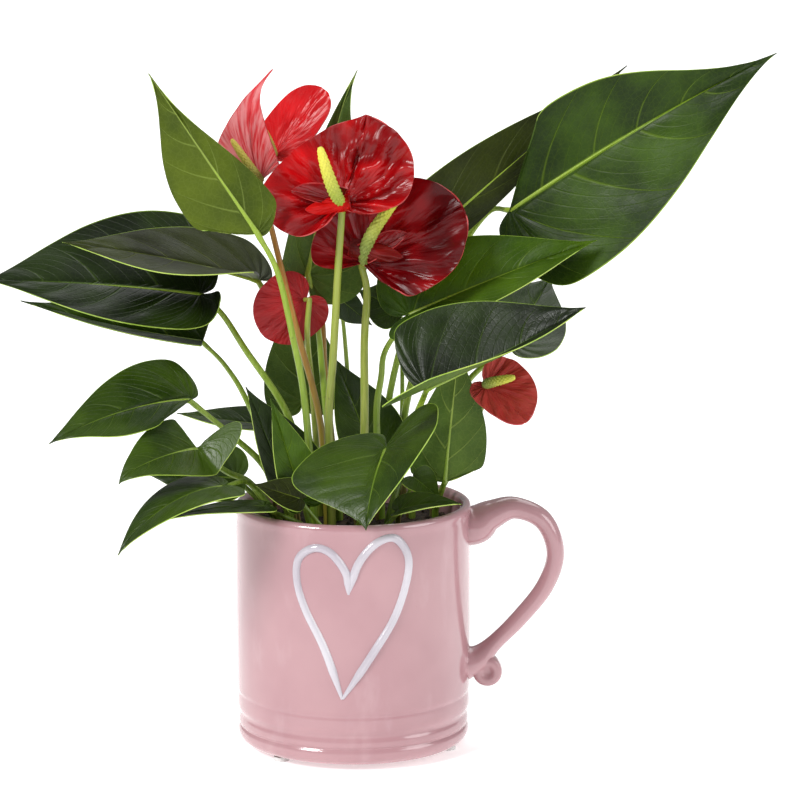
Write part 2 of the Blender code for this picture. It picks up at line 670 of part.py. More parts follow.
def build_pads(finish, collection):
    """Small soft pads under the foot of the mug, set evenly round it."""
    profile = ((0.0, PAD_HEIGHT - GAP), (PAD_RADIUS, PAD_HEIGHT - GAP), (PAD_RADIUS, 0.0), (0.0, 0.0))
    for number in range(PAD_COUNT):
        angle = math.radians(PAD_FIRST_ANGLE + number * 360 / PAD_COUNT)
        pad = turned(f"pad_{number + 1}", profile, 16, finish, collection)
        place = (PAD_CIRCLE * math.cos(angle), PAD_CIRCLE * math.sin(angle), 0.0)
        pad.data.transform(Matrix.Translation(place))


def build_soil(stems, finish, collection, cutters):
    """The soil fills the mug to a little below its rim, with a plain hole for each stem."""
    inner = MUG_RADIUS - MUG_WALL - 1.5 * GAP
    floor = PAD_HEIGHT + MUG_FLOOR + GAP
    profile = (
        (0.0, SOIL_TOP), (0.030, SOIL_TOP - 0.0004), (inner, SOIL_EDGE), (inner, floor + 0.0062),
        (inner - 0.0050, floor), (0.0, floor),
    )
    soil = turned("soil", profile, MUG_SEGMENTS, finish, collection)
    for number, (root, thick) in enumerate(stems):
        hole = bmesh.new()
        radius = thick * MM + GAP + 0.0001
        depth = STEM_DEPTH + GAP + HOLE_REACH
        bmesh.ops.create_cone(
            hole, cap_ends=True, segments=HOLE_SIDES, radius1=radius, radius2=radius, depth=depth
        )
        mesh = bpy.data.meshes.new(f"hole_{number}")
        hole.to_mesh(mesh)
        hole.free()
        cutter = new_object(mesh.name, mesh, finish, cutters)
        middle = SOIL_TOP + HOLE_REACH - depth / 2
        cutter.data.transform(Matrix.Translation((root[0] * MM, root[1] * MM, middle)))
    cut = soil.modifiers.new("holes", "BOOLEAN")
    cut.operation = "DIFFERENCE"
    cut.solver = "EXACT"
    cut.operand_type = "COLLECTION"
    cut.collection = cutters
    apply_modifiers(soil)
    for cutter in list(cutters.objects):
        bpy.data.objects.remove(cutter, do_unlink=True)


def main():
    clear_scene()
    part = bpy.data.collections.new("potted_anthurium")
    cutters = bpy.data.collections.new("cutters")
    bpy.context.scene.collection.children.link(part)
    bpy.context.scene.collection.children.link(cutters)

    pink = material("pink_glaze", (0.73, 0.44, 0.49), 0.25, 0.5)
    white = material("white_rubber", (0.8, 0.8, 0.8), 0.6)
    earth = material("potting_soil", (0.035, 0.022, 0.015), 0.95)
    green = material("leaf_green", (0.035, 0.11, 0.02), 0.35, 0.3)
    stalk = material("stalk_green", (0.25, 0.42, 0.05), 0.4)
    red = material("spathe_red", (0.45, 0.01, 0.02), 0.25, 0.6)
    yellow = material("spadix_yellow", (0.6, 0.62, 0.1), 0.55)

    build_mug(pink, part)
    build_pads(white, part)
    stems = [(leaf.root, leaf.thick) for leaf in LEAVES.values()]
    stems += [(flower.root, flower.thick) for flower in FLOWERS.values()]
    build_soil(stems, earth, part, cutters)
    for name, leaf in LEAVES.items():
        build_leaf(name, leaf, green, part)
    for name, flower in FLOWERS.items():
        build_flower(name, flower, (stalk, red, yellow), part)
    bpy.data.collections.remove(cutters)


main()
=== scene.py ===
"""Looks of a potted anthurium: pink glazed mug, soil, glossy heart-shaped leaves and red flowers.

Each blade is a grid laid on the same form as its solid, with finer veins, quilting and ruffles.
Places in the plant are millimetres and pass through mm(). Everything else is in metres.
"""
import math
import random
from dataclasses import dataclass

import bpy
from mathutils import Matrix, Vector, noise


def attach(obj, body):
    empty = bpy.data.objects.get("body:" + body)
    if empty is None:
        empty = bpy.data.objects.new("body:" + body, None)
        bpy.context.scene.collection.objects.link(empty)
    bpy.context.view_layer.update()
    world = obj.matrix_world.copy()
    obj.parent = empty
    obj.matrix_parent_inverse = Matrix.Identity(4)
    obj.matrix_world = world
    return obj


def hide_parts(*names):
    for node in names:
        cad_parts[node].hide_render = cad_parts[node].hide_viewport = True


MM = 0.001

# Sizes that the looks share with the solids
SOIL_TOP = 0.0970
SOIL_EDGE = 0.0955
STEM_DEPTH = 0.0110
STEM_STRAIGHT = 0.0040
MUG_RADIUS = 0.0503
MUG_TOP = 0.1065
MUG_WALL = 0.0042
MUG_FLOOR = 0.0056
PAD_HEIGHT = 0.0021
GAP = 0.0003
VEIN_LEAN = 0.24
LOBE_HINGE = 0.10
SOLID_BLADE = 0.0008

# Fineness of the looks
LEAF_THICKNESS = 0.00045
SPATHE_THICKNESS = 0.0006
LEAF_VEINS = 9
VEIN_BOW = 0.06
PETIOLE_SINK = 0.5
PETIOLE_TAPER = 0.40
PEDUNCLE_TAPER = 0.25
NECK = 0.0044
STEM_SIDES = 12
SPADIX_AROUND = 48
SPADIX_ALONG = 110
FLORETS_AROUND = 8
FLORETS_ALONG = 26
FLORET_HEIGHT = 0.26
GROOVE = 0.9
LONG_LEAF = 0.07
LONG_LEAF_GRID = (96, 16)
LEAF_GRID = (64, 10)
SPATHE_GRID = (120, 24)
FOLD_GRID = (48, 8)
FOLD_RUFFLE = 0.25
HANDLE_STEPS = 80
HEART_STEPS = 90
SOIL_RINGS = 24
CRUMBS = 150

# The photograph's viewpoint
CAMERA_PLACE = (0.020, -1.890, 0.523)
CAMERA_TILT = 90 - 11.17
CAMERA_LENS = 204.5


def deselect():
    bpy.ops.object.select_all(action="DESELECT")


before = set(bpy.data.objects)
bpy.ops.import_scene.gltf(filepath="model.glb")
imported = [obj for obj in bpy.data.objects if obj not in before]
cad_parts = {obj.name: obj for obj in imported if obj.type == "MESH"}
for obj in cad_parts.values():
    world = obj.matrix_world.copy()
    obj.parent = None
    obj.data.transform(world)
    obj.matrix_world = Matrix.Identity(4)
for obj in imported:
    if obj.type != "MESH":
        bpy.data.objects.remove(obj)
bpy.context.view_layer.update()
deselect()


def mm(*values):
    """Turns millimetres into a vector in metres."""
    return Vector(values) * MM


def smooth(a, b, c, d, t):
    """The point at t between b and c on a smooth curve that passes a, b, c and d."""
    square = 2 * a - 5 * b + 4 * c - d
    cube = 3 * b - a - 3 * c + d
    return 0.5 * (2 * b + (c - a) * t + square * t**2 + cube * t**3)


def spline(points, count):
    """A smooth curve through the points, as count + 1 points."""
    curve = []
    last = len(points) - 1
    for step in range(count + 1):
        place = step * last / count
        index = min(int(place), last - 1)
        b = points[index]
        c = points[index + 1]
        a = points[index - 1] if index > 0 else b + (b - c)
        d = points[index + 2] if index + 2 <= last else c + (c - b)
        curve.append(smooth(a, b, c, d, place - index))
    return curve


def srgb(red, green, blue):
    """A linear colour from the 0 to 255 values that a screen shows."""
    def linear(value):
        part = value / 255
        return part / 12.92 if part <= 0.04045 else ((part + 0.055) / 1.055) ** 2.4
    return (linear(red), linear(green), linear(blue), 1.0)


class Surface:
    """A material with one Principled shader, and short calls for the nodes that feed it."""

    def __init__(self, name, roughness, coat=0.0, coat_roughness=0.1, specular=0.5):
        self.made = bpy.data.materials.new(name)
        self.made.use_nodes = True
        self.tree = self.made.node_tree
        self.shader = self.tree.nodes["Principled BSDF"]
        sockets = ("Roughness", "Coat Weight", "Coat Roughness", "Specular IOR Level")
        for socket, value in zip(sockets, (roughness, coat, coat_roughness, specular)):
            self.shader.inputs[socket].default_value = value
        self.places = self.node("TexCoord")

    def node(self, kind):
        return self.tree.nodes.new("ShaderNode" + kind)

    def feed(self, socket, value):
        """Sets a socket to a number or a screen colour, or links it to another node's socket."""
        if isinstance(value, bpy.types.NodeSocket):
            self.tree.links.new(value, socket)
        elif isinstance(value, tuple):
            socket.default_value = srgb(*value)
        else:
            socket.default_value = value

    def math(self, operation, first, second=0.0):
        node = self.node("Math")
        node.operation = operation
        self.feed(node.inputs[0], first)
        self.feed(node.inputs[1], second)
        return node.outputs[0]

    def step(self, value, low, high, start=0.0, end=1.0):
        """A soft step: start below low, end above high."""
        node = self.node("MapRange")
        node.interpolation_type = "SMOOTHSTEP"
        sockets = ("Value", "From Min", "From Max", "To Min", "To Max")
        for socket, number in zip(sockets, (value, low, high, start, end)):
            self.feed(node.inputs[socket], number)
        return node.outputs[0]

    def mix(self, factor, first, second):
        node = self.node("Mix")
        node.data_type = "RGBA"
        self.feed(node.inputs["Factor"], factor)
        self.feed(node.inputs["A"], first)
        self.feed(node.inputs["B"], second)
        return node.outputs["Result"]

    def tint(self, under, colour, pattern, amount):
        """Lays a colour over another where a pattern shows, up to an amount."""
        return self.mix(self.math("MULTIPLY", pattern, amount), under, colour)

    def raised(self, relief, pattern, amount):
        """Adds a pattern to a relief, or sinks it with an amount below zero."""
        return self.math("ADD", relief, self.math("MULTIPLY", pattern, amount))

    def noise(self, scale, detail, stretch=(1.0, 1.0, 1.0), source="Object", rough=0.5):
        turn = self.node("Mapping")
        turn.inputs["Scale"].default_value = stretch
        self.feed(turn.inputs["Vector"], self.places.outputs[source])
        node = self.node("TexNoise")
        node.inputs["Scale"].default_value = scale
        node.inputs["Detail"].default_value = detail
        node.inputs["Roughness"].default_value = rough
        self.feed(node.inputs["Vector"], turn.outputs[0])
        return node.outputs["Fac"]

    def cells(self, scale):
        """Distance to the nearest cell wall, for nets of fine veins."""
        node = self.node("TexVoronoi")
        node.feature = "DISTANCE_TO_EDGE"
        node.inputs["Scale"].default_value = scale
        self.feed(node.inputs["Vector"], self.places.outputs["Object"])
        return node.outputs["Distance"]

    def split(self, source):
        """The three parts of a place on the piece."""
        node = self.node("SeparateXYZ")
        self.feed(node.inputs[0], self.places.outputs[source])
        return node.outputs

    def along_and_across(self):
        """The blade's own two directions: round the margin from 0 to 1, and 0 at the midrib to 1."""
        parts = self.split("UV")
        signed = self.math("MULTIPLY", self.math("SUBTRACT", parts[1], 0.5), 2.0)
        return parts[0], signed, self.math("ABSOLUTE", signed)

    def veins(self, count, bow, wide, narrow):
        """Side veins that leave the midrib and bow towards the tip, as 1 on a vein and 0 off it."""
        along, signed, across = self.along_and_across()
        stagger = self.math("MULTIPLY", self.math("GREATER_THAN", signed, 0.0), 0.4)
        bend = self.math("MULTIPLY", self.math("POWER", across, 2.0), bow)
        bowed = self.math("SUBTRACT", along, bend)
        place = self.math("ADD", self.math("MULTIPLY", bowed, count), stagger)
        off = self.math("ABSOLUTE", self.math("SUBTRACT", self.math("FRACT", place), 0.5))
        width = self.step(across, 0.0, 1.0, wide, narrow)
        return self.step(off, 0.0, width, 1.0, 0.0), across

    def bump(self, height, distance, strength):
        node = self.node("Bump")
        node.inputs["Distance"].default_value = distance
        node.inputs["Strength"].default_value = strength
        self.feed(node.inputs["Height"], height)
        self.feed(self.shader.inputs["Normal"], node.outputs["Normal"])

    def colour(self, value):
        self.feed(self.shader.inputs["Base Color"], value)

    def roughness(self, value):
        self.feed(self.shader.inputs["Roughness"], value)


def leaf_top(name, shade, light, vein, gloss, shine=0.2):
    """The upper side of a leaf: dark green, paler veins, a faint net and a soft uneven shine."""
    face = Surface("leaf_" + name, gloss, specular=shine)
    veins, across = face.veins(LEAF_VEINS, VEIN_BOW, 0.045, 0.012)
    fine, _ = face.veins(LEAF_VEINS * 4, VEIN_BOW * 2, 0.10, 0.05)
    net = face.step(face.cells(420.0), 0.0, 0.12, 1.0, 0.0)
    patches = face.step(face.noise(28.0, 4.0), 0.35, 0.68)
    body = face.mix(patches, shade, light)
    body = face.tint(body, vein, net, 0.04)
    body = face.tint(body, vein, fine, 0.05)
    body = face.tint(body, vein, veins, 0.26)
    midrib = face.step(across, 0.010, 0.035, 1.0, 0.0)
    body = face.tint(body, vein, midrib, 0.75)
    body = face.mix(face.step(across, 0.984, 0.999), body, (140, 170, 60))
    face.colour(body)
    relief = face.math("MULTIPLY", veins, -0.6)
    relief = face.raised(relief, fine, -0.25)
    relief = face.raised(relief, net, -0.08)
    relief = face.raised(relief, face.noise(260.0, 3.0), 0.35)
    face.bump(relief, 0.0004, 0.7)
    face.roughness(face.step(face.noise(70.0, 4.0), 0.3, 0.7, gloss - 0.07, gloss + 0.10))
    return face.made


def leaf_under(name, shade, light):
    """The underside: paler and duller, with the veins standing out."""
    face = Surface("leaf_under_" + name, 0.55, specular=0.2)
    veins, across = face.veins(LEAF_VEINS, VEIN_BOW, 0.06, 0.02)
    net = face.step(face.cells(420.0), 0.0, 0.14, 1.0, 0.0)
    body = face.mix(face.step(face.noise(30.0, 4.0), 0.35, 0.65), shade, light)
    body = face.tint(body, (150, 170, 80), net, 0.05)
    body = face.tint(body, (150, 170, 80), veins, 0.35)
    body = face.mix(face.step(across, 0.015, 0.045, 0.7, 0.0), body, (160, 180, 85))
    face.colour(body)
    relief = face.math("MULTIPLY", veins, 0.8)
    relief = face.raised(relief, net, 0.2)
    face.bump(relief, 0.0004, 0.7)
    return face.made


def spathe_face(name, deep, bright, painted_highlight, gloss, shine=0.3, streaks=0.06):
    """Waxy red with a fan of fine pleats, painted shade in the sunken pleats and painted highlight
    streaks along the raised creases: its UV map holds the direction and distance from its base.
    """
    face = Surface("spathe_" + name, gloss, specular=shine)
    pleats = face.step(face.noise(1.0, 3.0, (34.0, 1.6, 1.0), "UV"), 0.38, 0.62)
    creases = face.step(face.noise(1.0, 3.0, (110.0, 4.0, 1.0), "UV"), 0.35, 0.65)
    body = face.mix(face.step(face.noise(38.0, 2.0), 0.36, 0.66), deep, bright)
    # Painted shade: the sunken pleats are darkened towards the deep red.
    body = face.tint(body, deep, pleats, 0.30)
    # Painted highlight: pale streaks of this colour along the raised creases, as strong as the streaks
    # amount.
    body = face.tint(body, painted_highlight, creases, streaks)
    face.colour(body)
    relief = face.math("MULTIPLY", creases, 0.10)
    relief = face.raised(relief, pleats, -0.55)
    relief = face.raised(relief, face.noise(90.0, 1.0), 1.0)
    face.bump(relief, 0.0007, 0.8)
    face.roughness(face.step(face.noise(70.0, 2.0), 0.3, 0.7, gloss - 0.04, gloss + 0.10))
    return face.made


def stalk_face(name, low, high, blush):
    """A stalk: one green near the soil, a yellower one above, streaked along its length."""
    face = Surface(name, 0.38, 0.15, 0.2)
    height = face.split("Object")[2]
    body = face.mix(face.step(height, SOIL_TOP, SOIL_TOP + 0.11), low, high)
    streaks = face.step(face.noise(900.0, 2.0, (1.0, 1.0, 0.05)), 0.35, 0.65)
    body = face.tint(body, blush, streaks, 0.30)
    specks = face.step(face.noise(420.0, 1.0), 0.70, 0.78)
    body = face.tint(body, (90, 80, 30), specks, 0.35)
    face.colour(body)
    face.bump(streaks, 0.0002, 0.5)
    return face.made


def spadix_face(name, tip, foot):
    """A spadix: yellow at the tip and greener at its foot, darker between the florets."""
    face = Surface("spadix_" + name, 0.55)
    body = face.mix(face.step(face.split("UV")[1], 0.25, 0.95), foot, tip)
    body = face.tint(body, (235, 235, 140), face.noise(500.0, 2.0), 0.35)
    face.colour(body)
    face.bump(face.noise(1500.0, 2.0), 0.0003, 0.6)
    return face.made


def glaze(name, body, shade, thin):
    """A glossy glaze, a little uneven in colour and thickness, over a softly rippled body."""
    face = Surface(name, 0.16, 0.6, 0.06)
    cloud = face.step(face.noise(22.0, 3.0), 0.35, 0.70)
    colour = face.mix(cloud, body, shade)
    pale = face.step(face.noise(75.0, 4.0, (1.0, 1.0, 0.4)), 0.55, 0.75, 0.0, 0.35)
    colour = face.mix(pale, colour, thin)
    pits = face.step(face.noise(700.0, 1.0), 0.74, 0.80)
    colour = face.tint(colour, shade, pits, 0.25)
    face.colour(colour)
    waves = face.raised(face.noise(45.0, 2.0), pits, -0.15)
    face.bump(waves, 0.0006, 0.35)
    face.roughness(face.step(face.noise(50.0, 2.0), 0.3, 0.7, 0.12, 0.22))
    return face.made


def plain_face(name, body, spots, scale, roughness, height):
    """A matte surface with uneven colour and grain, for soil, sheaths, rubber and the floor."""
    face = Surface(name, roughness)
    grain = face.noise(scale, 5.0, rough=0.7)
    face.colour(face.mix(face.step(grain, 0.35, 0.65), body, spots))
    face.bump(grain, height, 0.8)
    return face.made


TOPS = {
    "dark": leaf_top("dark", (30, 50, 4), (60, 84, 10), (110, 138, 42), 0.36, 0.3),
    "deep": leaf_top("deep", (14, 26, 3), (34, 52, 7), (85, 112, 36), 0.34, 0.3),
    "bright": leaf_top("bright", (26, 46, 1), (56, 84, 2), (128, 158, 36), 0.44),
    "mid": leaf_top("mid", (40, 66, 4), (72, 102, 8), (122, 150, 40), 0.38),
    "olive": leaf_top("olive", (28, 34, 4), (50, 60, 8), (112, 126, 38), 0.46),
}
UNDERS = {
    "dark": leaf_under("dark", (52, 76, 20), (80, 104, 34)),
    "olive": leaf_under("olive", (56, 72, 4), (84, 100, 10)),
}
MARGIN = plain_face("leaf_margin", (150, 185, 60), (190, 210, 100), 60.0, 0.45, 0.0001)
PETIOLE = stalk_face("petiole_green", (92, 122, 26), (142, 170, 40), (170, 190, 80))
PEDUNCLES = {
    "green": stalk_face("peduncle_green", (105, 120, 35), (150, 165, 60), (180, 180, 90)),
    "rust": stalk_face("peduncle_rust", (110, 115, 30), (165, 110, 40), (180, 140, 60)),
}
SPATHES = {
    "scarlet": spathe_face("scarlet", (126, 0, 4), (218, 3, 10), (230, 60, 64), 0.25, 0.34),
    "crimson": spathe_face("crimson", (84, 0, 3), (158, 1, 7), (176, 36, 46), 0.25, 0.22),
    "rose": spathe_face("rose", (200, 4, 14), (240, 22, 30), (248, 120, 120), 0.28, 0.34),
    # Blush: its pinker reds and strong pale streaks are painted reflection, white light glancing off the
    # glossy face; the red beneath is the spathe's own.
    "blush": spathe_face("blush", (200, 16, 30), (234, 66, 74), (252, 196, 196),
                         0.26, 0.5, 0.4),
    "faded": spathe_face("faded", (176, 44, 42), (222, 92, 84), (196, 150, 100), 0.30),
    "fold": spathe_face("fold", (176, 4, 6), (216, 10, 10), (216, 60, 40), 0.34, 0.2),
    "dark_fold": spathe_face("dark_fold", (96, 2, 4), (140, 12, 8), (160, 60, 30), 0.30, 0.3),
    # The scoops' insides: a darker copy of the red, painted shade.
    "painted_shade_hollow": spathe_face("painted_shade_hollow", (84, 0, 4), (150, 2, 10), (210, 80, 84), 0.22, 0.45),
}
SPATHE_BACK = spathe_face("back", (132, 8, 14), (176, 24, 28), (216, 110, 108), 0.40)
SPATHE_EDGE = plain_face("spathe_edge", (168, 24, 28), (206, 84, 82), 60.0, 0.4, 0.0001)
SPADICES = {
    "yellow": spadix_face("yellow", (232, 222, 66), (150, 172, 40)),
    "green": spadix_face("green", (196, 196, 40), (98, 124, 34)),
    "mustard": spadix_face("mustard", (190, 165, 40), (150, 140, 40)),
}
PINK = glaze("pink_glaze", (188, 145, 150), (178, 134, 140), (202, 168, 172))
WHITE = glaze("white_glaze", (212, 208, 215), (188, 180, 190), (228, 226, 230))
EARTH = plain_face("soil_peat", (24, 18, 13), (64, 48, 34), 260.0, 0.95, 0.0012)
SHEATH = stalk_face("sheath_brown", (88, 84, 40), (120, 130, 60), (150, 120, 70))
RUBBER = plain_face("pad_rubber", (226, 226, 224), (206, 206, 204), 300.0, 0.6, 0.0001)
FLOOR = plain_face("floor_pale", (250, 250, 250), (248, 248, 248), 3.0, 0.8, 0.0)
FLOOR.node_tree.nodes["Principled BSDF"].inputs["Emission Color"].default_value = (1.0, 1.0, 1.0, 1.0)
FLOOR.node_tree.nodes["Principled BSDF"].inputs["Emission Strength"].default_value = 0.45


# Half outlines, from the petiole round a lobe to the tip. The first value goes along the midrib,
# in lobe lengths behind the petiole and in blade lengths ahead of it. The second is across, in
# half widths.
LEAF_OUTLINE = (
    (0.00, 0.00), (-0.72, 0.10), (-1.00, 0.38), (-0.72, 0.72), (-0.02, 0.94), (0.17, 1.00),
    (0.34, 0.95), (0.52, 0.79), (0.69, 0.54), (0.84, 0.27), (0.94, 0.09), (1.00, 0.00),
)
SPATHE_OUTLINE = (
    (0.00, 0.00), (-0.62, 0.12), (-1.00, 0.40), (-0.80, 0.76), (-0.05, 0.98), (0.22, 1.00),
    (0.44, 0.90), (0.64, 0.70), (0.80, 0.45), (0.92, 0.20), (0.98, 0.07), (1.00, 0.00),
)
ROUND_OUTLINE = (
    (0.00, 0.00), (-0.62, 0.12), (-1.00, 0.40), (-0.80, 0.76), (-0.05, 0.98), (0.30, 1.00),
    (0.54, 0.93), (0.74, 0.78), (0.89, 0.55), (0.97, 0.30), (1.00, 0.12), (1.00, 0.00),
)


@dataclass
class Blade:
    """One blade, in millimetres and degrees. Pairs are (left, right) of the midrib, seen from above.

    The midrib runs from base to tip, raised in its middle by arch and moved sideways by sway. Each
    half has a width, a lobe length, a fold up from the midrib, and a cup that curls it further.
    Lift raises a lobe, sweep moves a half's edge forward, and slim narrows it towards the tip.
    Open is how much of the fold is gone at the tip. Hook bends the midrib's last third, up and to
    the right. Wave is the margin's ripple, as its height, how many there are and where they start.
    """

    base: tuple
    tip: tuple
    face: tuple
    width: tuple
    lobe: tuple = (0.14, 0.14)
    fold: tuple = (12, 12)
    cup: tuple = (10, 10)
    lift: tuple = (0, 0)
    sweep: tuple = (0.0, 0.0)
    slim: tuple = (0.2, 0.2)
    arch: float = 0.0
    sway: float = 0.0
    open: float = 0.3
    hook: tuple = (0, 0)
    wave: tuple = (0.0, 3.0, 0.0)
    outline: tuple = LEAF_OUTLINE

    def midrib(self, along):
        """The point on the midrib, and the directions along, up from and across the blade there."""
        base = mm(*self.base)
        chord = mm(*self.tip) - base
        ahead = chord.normalized()
        up = Vector(self.face)
        up = (up - ahead * up.dot(ahead)).normalized()
        across = ahead.cross(up)

        def place(t):
            bow = (up * self.arch + across * self.sway) * MM * 4 * t * (1 - t)
            late = max(0.0, t - 0.67) / 0.33
            hook = (up * self.hook[0] + across * self.hook[1]) * MM * late**2
            return base + chord * t + bow + hook

        here = max(along, 0.0)
        step = 0.01
        ahead = (place(here + step) - place(here - step)).normalized()
        up = (up - ahead * up.dot(ahead)).normalized()
        return place(here), ahead, up, ahead.cross(up)

    def half_outline(self, t, side):
        """The outline's point at t, from 0 at the petiole to 1 at the tip, as along and across."""
        lobe = self.lobe[side]
        points = [Vector((u * lobe if u < 0 else u, w)) for u, w in self.outline]
        last = len(points) - 1
        place = t * last
        index = min(int(place), last - 1)
        b = points[index]
        c = points[index + 1]
        a = points[index - 1] if index > 0 else b
        d = points[index + 2] if index + 2 <= last else c
        edge = smooth(a, b, c, d, place - index)
        ahead = max(0.001, 1 - max(edge.x, 0.0))
        return Vector((edge.x + self.sweep[side] * edge.y * ahead, edge.y * ahead ** self.slim[side]))

    def length(self):
        """The straight length from base to tip, in metres."""
        return (mm(*self.tip) - mm(*self.base)).length

    def spot(self, t, across):
        """The half a point is on, how far along the midrib its vein is, and its reach from there."""
        side = 1 if across > 0 else 0
        edge = self.half_outline(t, side)
        root = max(0.0, (edge.x - VEIN_LEAN) / (1 - VEIN_LEAN))
        along = root + (edge.x - root) * abs(across)
        return side, along, edge.y * abs(across) * self.width[side] * MM

    def fan(self, t, across):
        """Where a point lies from the blade's base: its direction from the midrib, and its distance."""
        side, along, reach = self.spot(t, across)
        aside = (reach if side else -reach) / self.length()
        return math.atan2(aside, along), math.hypot(aside, along)

    def point(self, t, across, relief):
        """A point of the blade, raised by relief: t runs along the margin, across from -1 to 1."""
        side, along, reach = self.spot(t, across)
        place, ahead, up, right = self.midrib(along)
        if along < 0:
            back = -along * self.length()
            turn = math.radians(self.lift[side]) * min(1.0, back / (LOBE_HINGE * self.length()))
            place += up * back * math.sin(turn) - ahead * back * math.cos(turn)
        first = math.radians(self.fold[side]) * (1 - self.open * max(0.0, along))
        bend = math.radians(self.cup[side]) / (self.width[side] * MM)
        if abs(bend) < 1e-6:
            flat = reach * math.cos(first)
            rise = reach * math.sin(first)
        else:
            flat = (math.sin(first + bend * reach) - math.sin(first)) / bend
            rise = (math.cos(first) - math.cos(first + bend * reach)) / bend
        height, count, phase = self.wave
        swell = math.sin(math.pi * min(1.0, t * 1.15))
        turns = math.sin(math.tau * (count * t + phase) + side * 1.3)
        ripple = height * MM * across**2 * swell * turns
        rise += ripple + relief(t, across) * MM
        return place + right * flat * (1 if side else -1) + up * rise


def quilting(veins, depth, seed):
    """Relief in millimetres: sunken side veins and midrib, with the blade puffed up between them."""
    def relief(t, across):
        part = abs(across)
        place = (t - VEIN_BOW * part**2) * veins + (0.4 if across > 0 else 0.0)
        off = abs(place % 1.0 - 0.5) * 2
        puff = 1 - math.exp(-((off / 0.45) ** 2))
        inner = min(1.0, part / 0.25) * min(1.0, (1 - part) / 0.2)
        ends = min(1.0, (1 - t) / 0.12)
        crease = -GROOVE * depth * math.exp(-((part / 0.05) ** 2)) * ends
        drift = noise.noise(Vector((t * 5.0, across * 2.0, seed)))
        return depth * puff * inner * ends + crease + 0.8 * depth * drift * part * ends
    return relief


def ruffles(form, depth, seed):
    """Relief for a spathe: pleats that fan out from its base, puckers, and a margin that ripples."""
    def relief(t, across):
        part = abs(across)
        half = 1.0 if across > 0 else 5.0
        turn, reach = form.fan(t, across)
        grown = min(1.0, reach / 0.35)
        bend = noise.noise(Vector((turn * 1.5, reach * 3.0, seed)))
        pleat = 1 - abs(math.sin(turn * 7.0 + 1.6 * bend)) * 2
        crumple = noise.noise(Vector((turn * 9.0, reach * 6.0, seed + 7.0)))
        margin = noise.noise(Vector((t * 8.0, seed + 3.0, half)))
        lip = math.exp(-(((t - 0.07) / 0.05) ** 2)) * part**2
        ends = min(1.0, (1 - t) / 0.10)
        midrib = -0.8 * math.exp(-((part / 0.05) ** 2)) * ends
        folds = grown * (1.2 * pleat + 0.6 * crumple) + 2.4 * margin * part**3 * ends + 1.2 * lip
        return depth * (folds + midrib) * (1 - 0.5 * part**4)
    return relief


def finish_piece(piece, name, smooth_angle=60):
    """Names a piece, smooths its shading and fixes it to the root body."""
    piece.name = name
    piece.data.name = name
    bpy.ops.object.shade_smooth_by_angle(angle=math.radians(smooth_angle))
    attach(piece, "root")
    deselect()
    return piece


def grid(columns, rows):
    """A flat grid over -1 to 1, with a UV map, as the start of a blade or a turned piece."""
    deselect()
    bpy.ops.mesh.primitive_grid_add(x_subdivisions=columns, y_subdivisions=rows, size=2.0)
    return bpy.context.object


def clean_mesh(flip=False):
    """Welds the points that a form puts on each other, and turns the faces outwards if asked."""
    bpy.ops.object.mode_set(mode="EDIT")
    bpy.ops.mesh.select_all(action="SELECT")
    bpy.ops.mesh.remove_doubles(threshold=0.000002)
    if flip:
        bpy.ops.mesh.flip_normals()
    bpy.ops.object.mode_set(mode="OBJECT")


def blade_piece(form, fineness, relief, thickness, finishes, fanned=False):
    """A blade with its upper face, its paler underside and the thin rim between them."""
    columns, rows = fineness
    piece = grid(columns, 2 * rows)
    if fanned:
        for corner in piece.data.uv_layers.active.data:
            turn, reach = form.fan(corner.uv.x, 2 * corner.uv.y - 1)
            corner.uv = (turn / math.tau + 0.5, reach)
    for vert in piece.data.vertices:
        vert.co = form.point((vert.co.x + 1) / 2, vert.co.y, relief)
    clean_mesh(flip=True)
    for finish in finishes:
        piece.data.materials.append(finish)
    wall = piece.modifiers.new("thickness", "SOLIDIFY")
    wall.thickness = thickness
    wall.offset = 0.0
    wall.material_offset = 1
    wall.material_offset_rim = 2
    bpy.ops.object.modifier_apply(modifier=wall.name)
    return piece


def tube_piece(points, radii, sides, finish, flatten=1.0):
    """A round stem, handle or line, from a curve with a bevel."""
    deselect()
    bpy.ops.curve.primitive_bezier_curve_add()
    guide = bpy.context.object
    guide.data.splines.clear()
    guide.data.bevel_depth = 1.0
    guide.data.bevel_resolution = sides // 2 - 2
    guide.data.use_fill_caps = True
    line = guide.data.splines.new("POLY")
    line.points.add(len(points) - 1)
    for point, place, radius in zip(line.points, points, radii):
        point.co = (place.x, place.y / flatten, place.z, 1.0)
        point.radius = radius
    guide.data.materials.append(finish)
    bpy.ops.object.convert(target="MESH")
    piece = bpy.context.object
    for vert in piece.data.vertices:
        vert.co.y *= flatten
    clean_mesh()
    return piece


def joined(pieces):
    """One object from several, each keeping its own finishes."""
    deselect()
    for piece in pieces:
        piece.select_set(True)
    bpy.context.view_layer.objects.active = pieces[0]
    bpy.ops.object.join()
    return bpy.context.object


# The plant's own measures, as in its solids

@dataclass
class Leaf:
    """A blade on its petiole. Root is on the soil, and thick is the petiole's radius there.

    Top and under are the finishes of the blade's two sides.
    """

    root: tuple
    blade: Blade
    stem: tuple = ()
    thick: float = 1.7
    top: str = "dark"
    under: str = "dark"


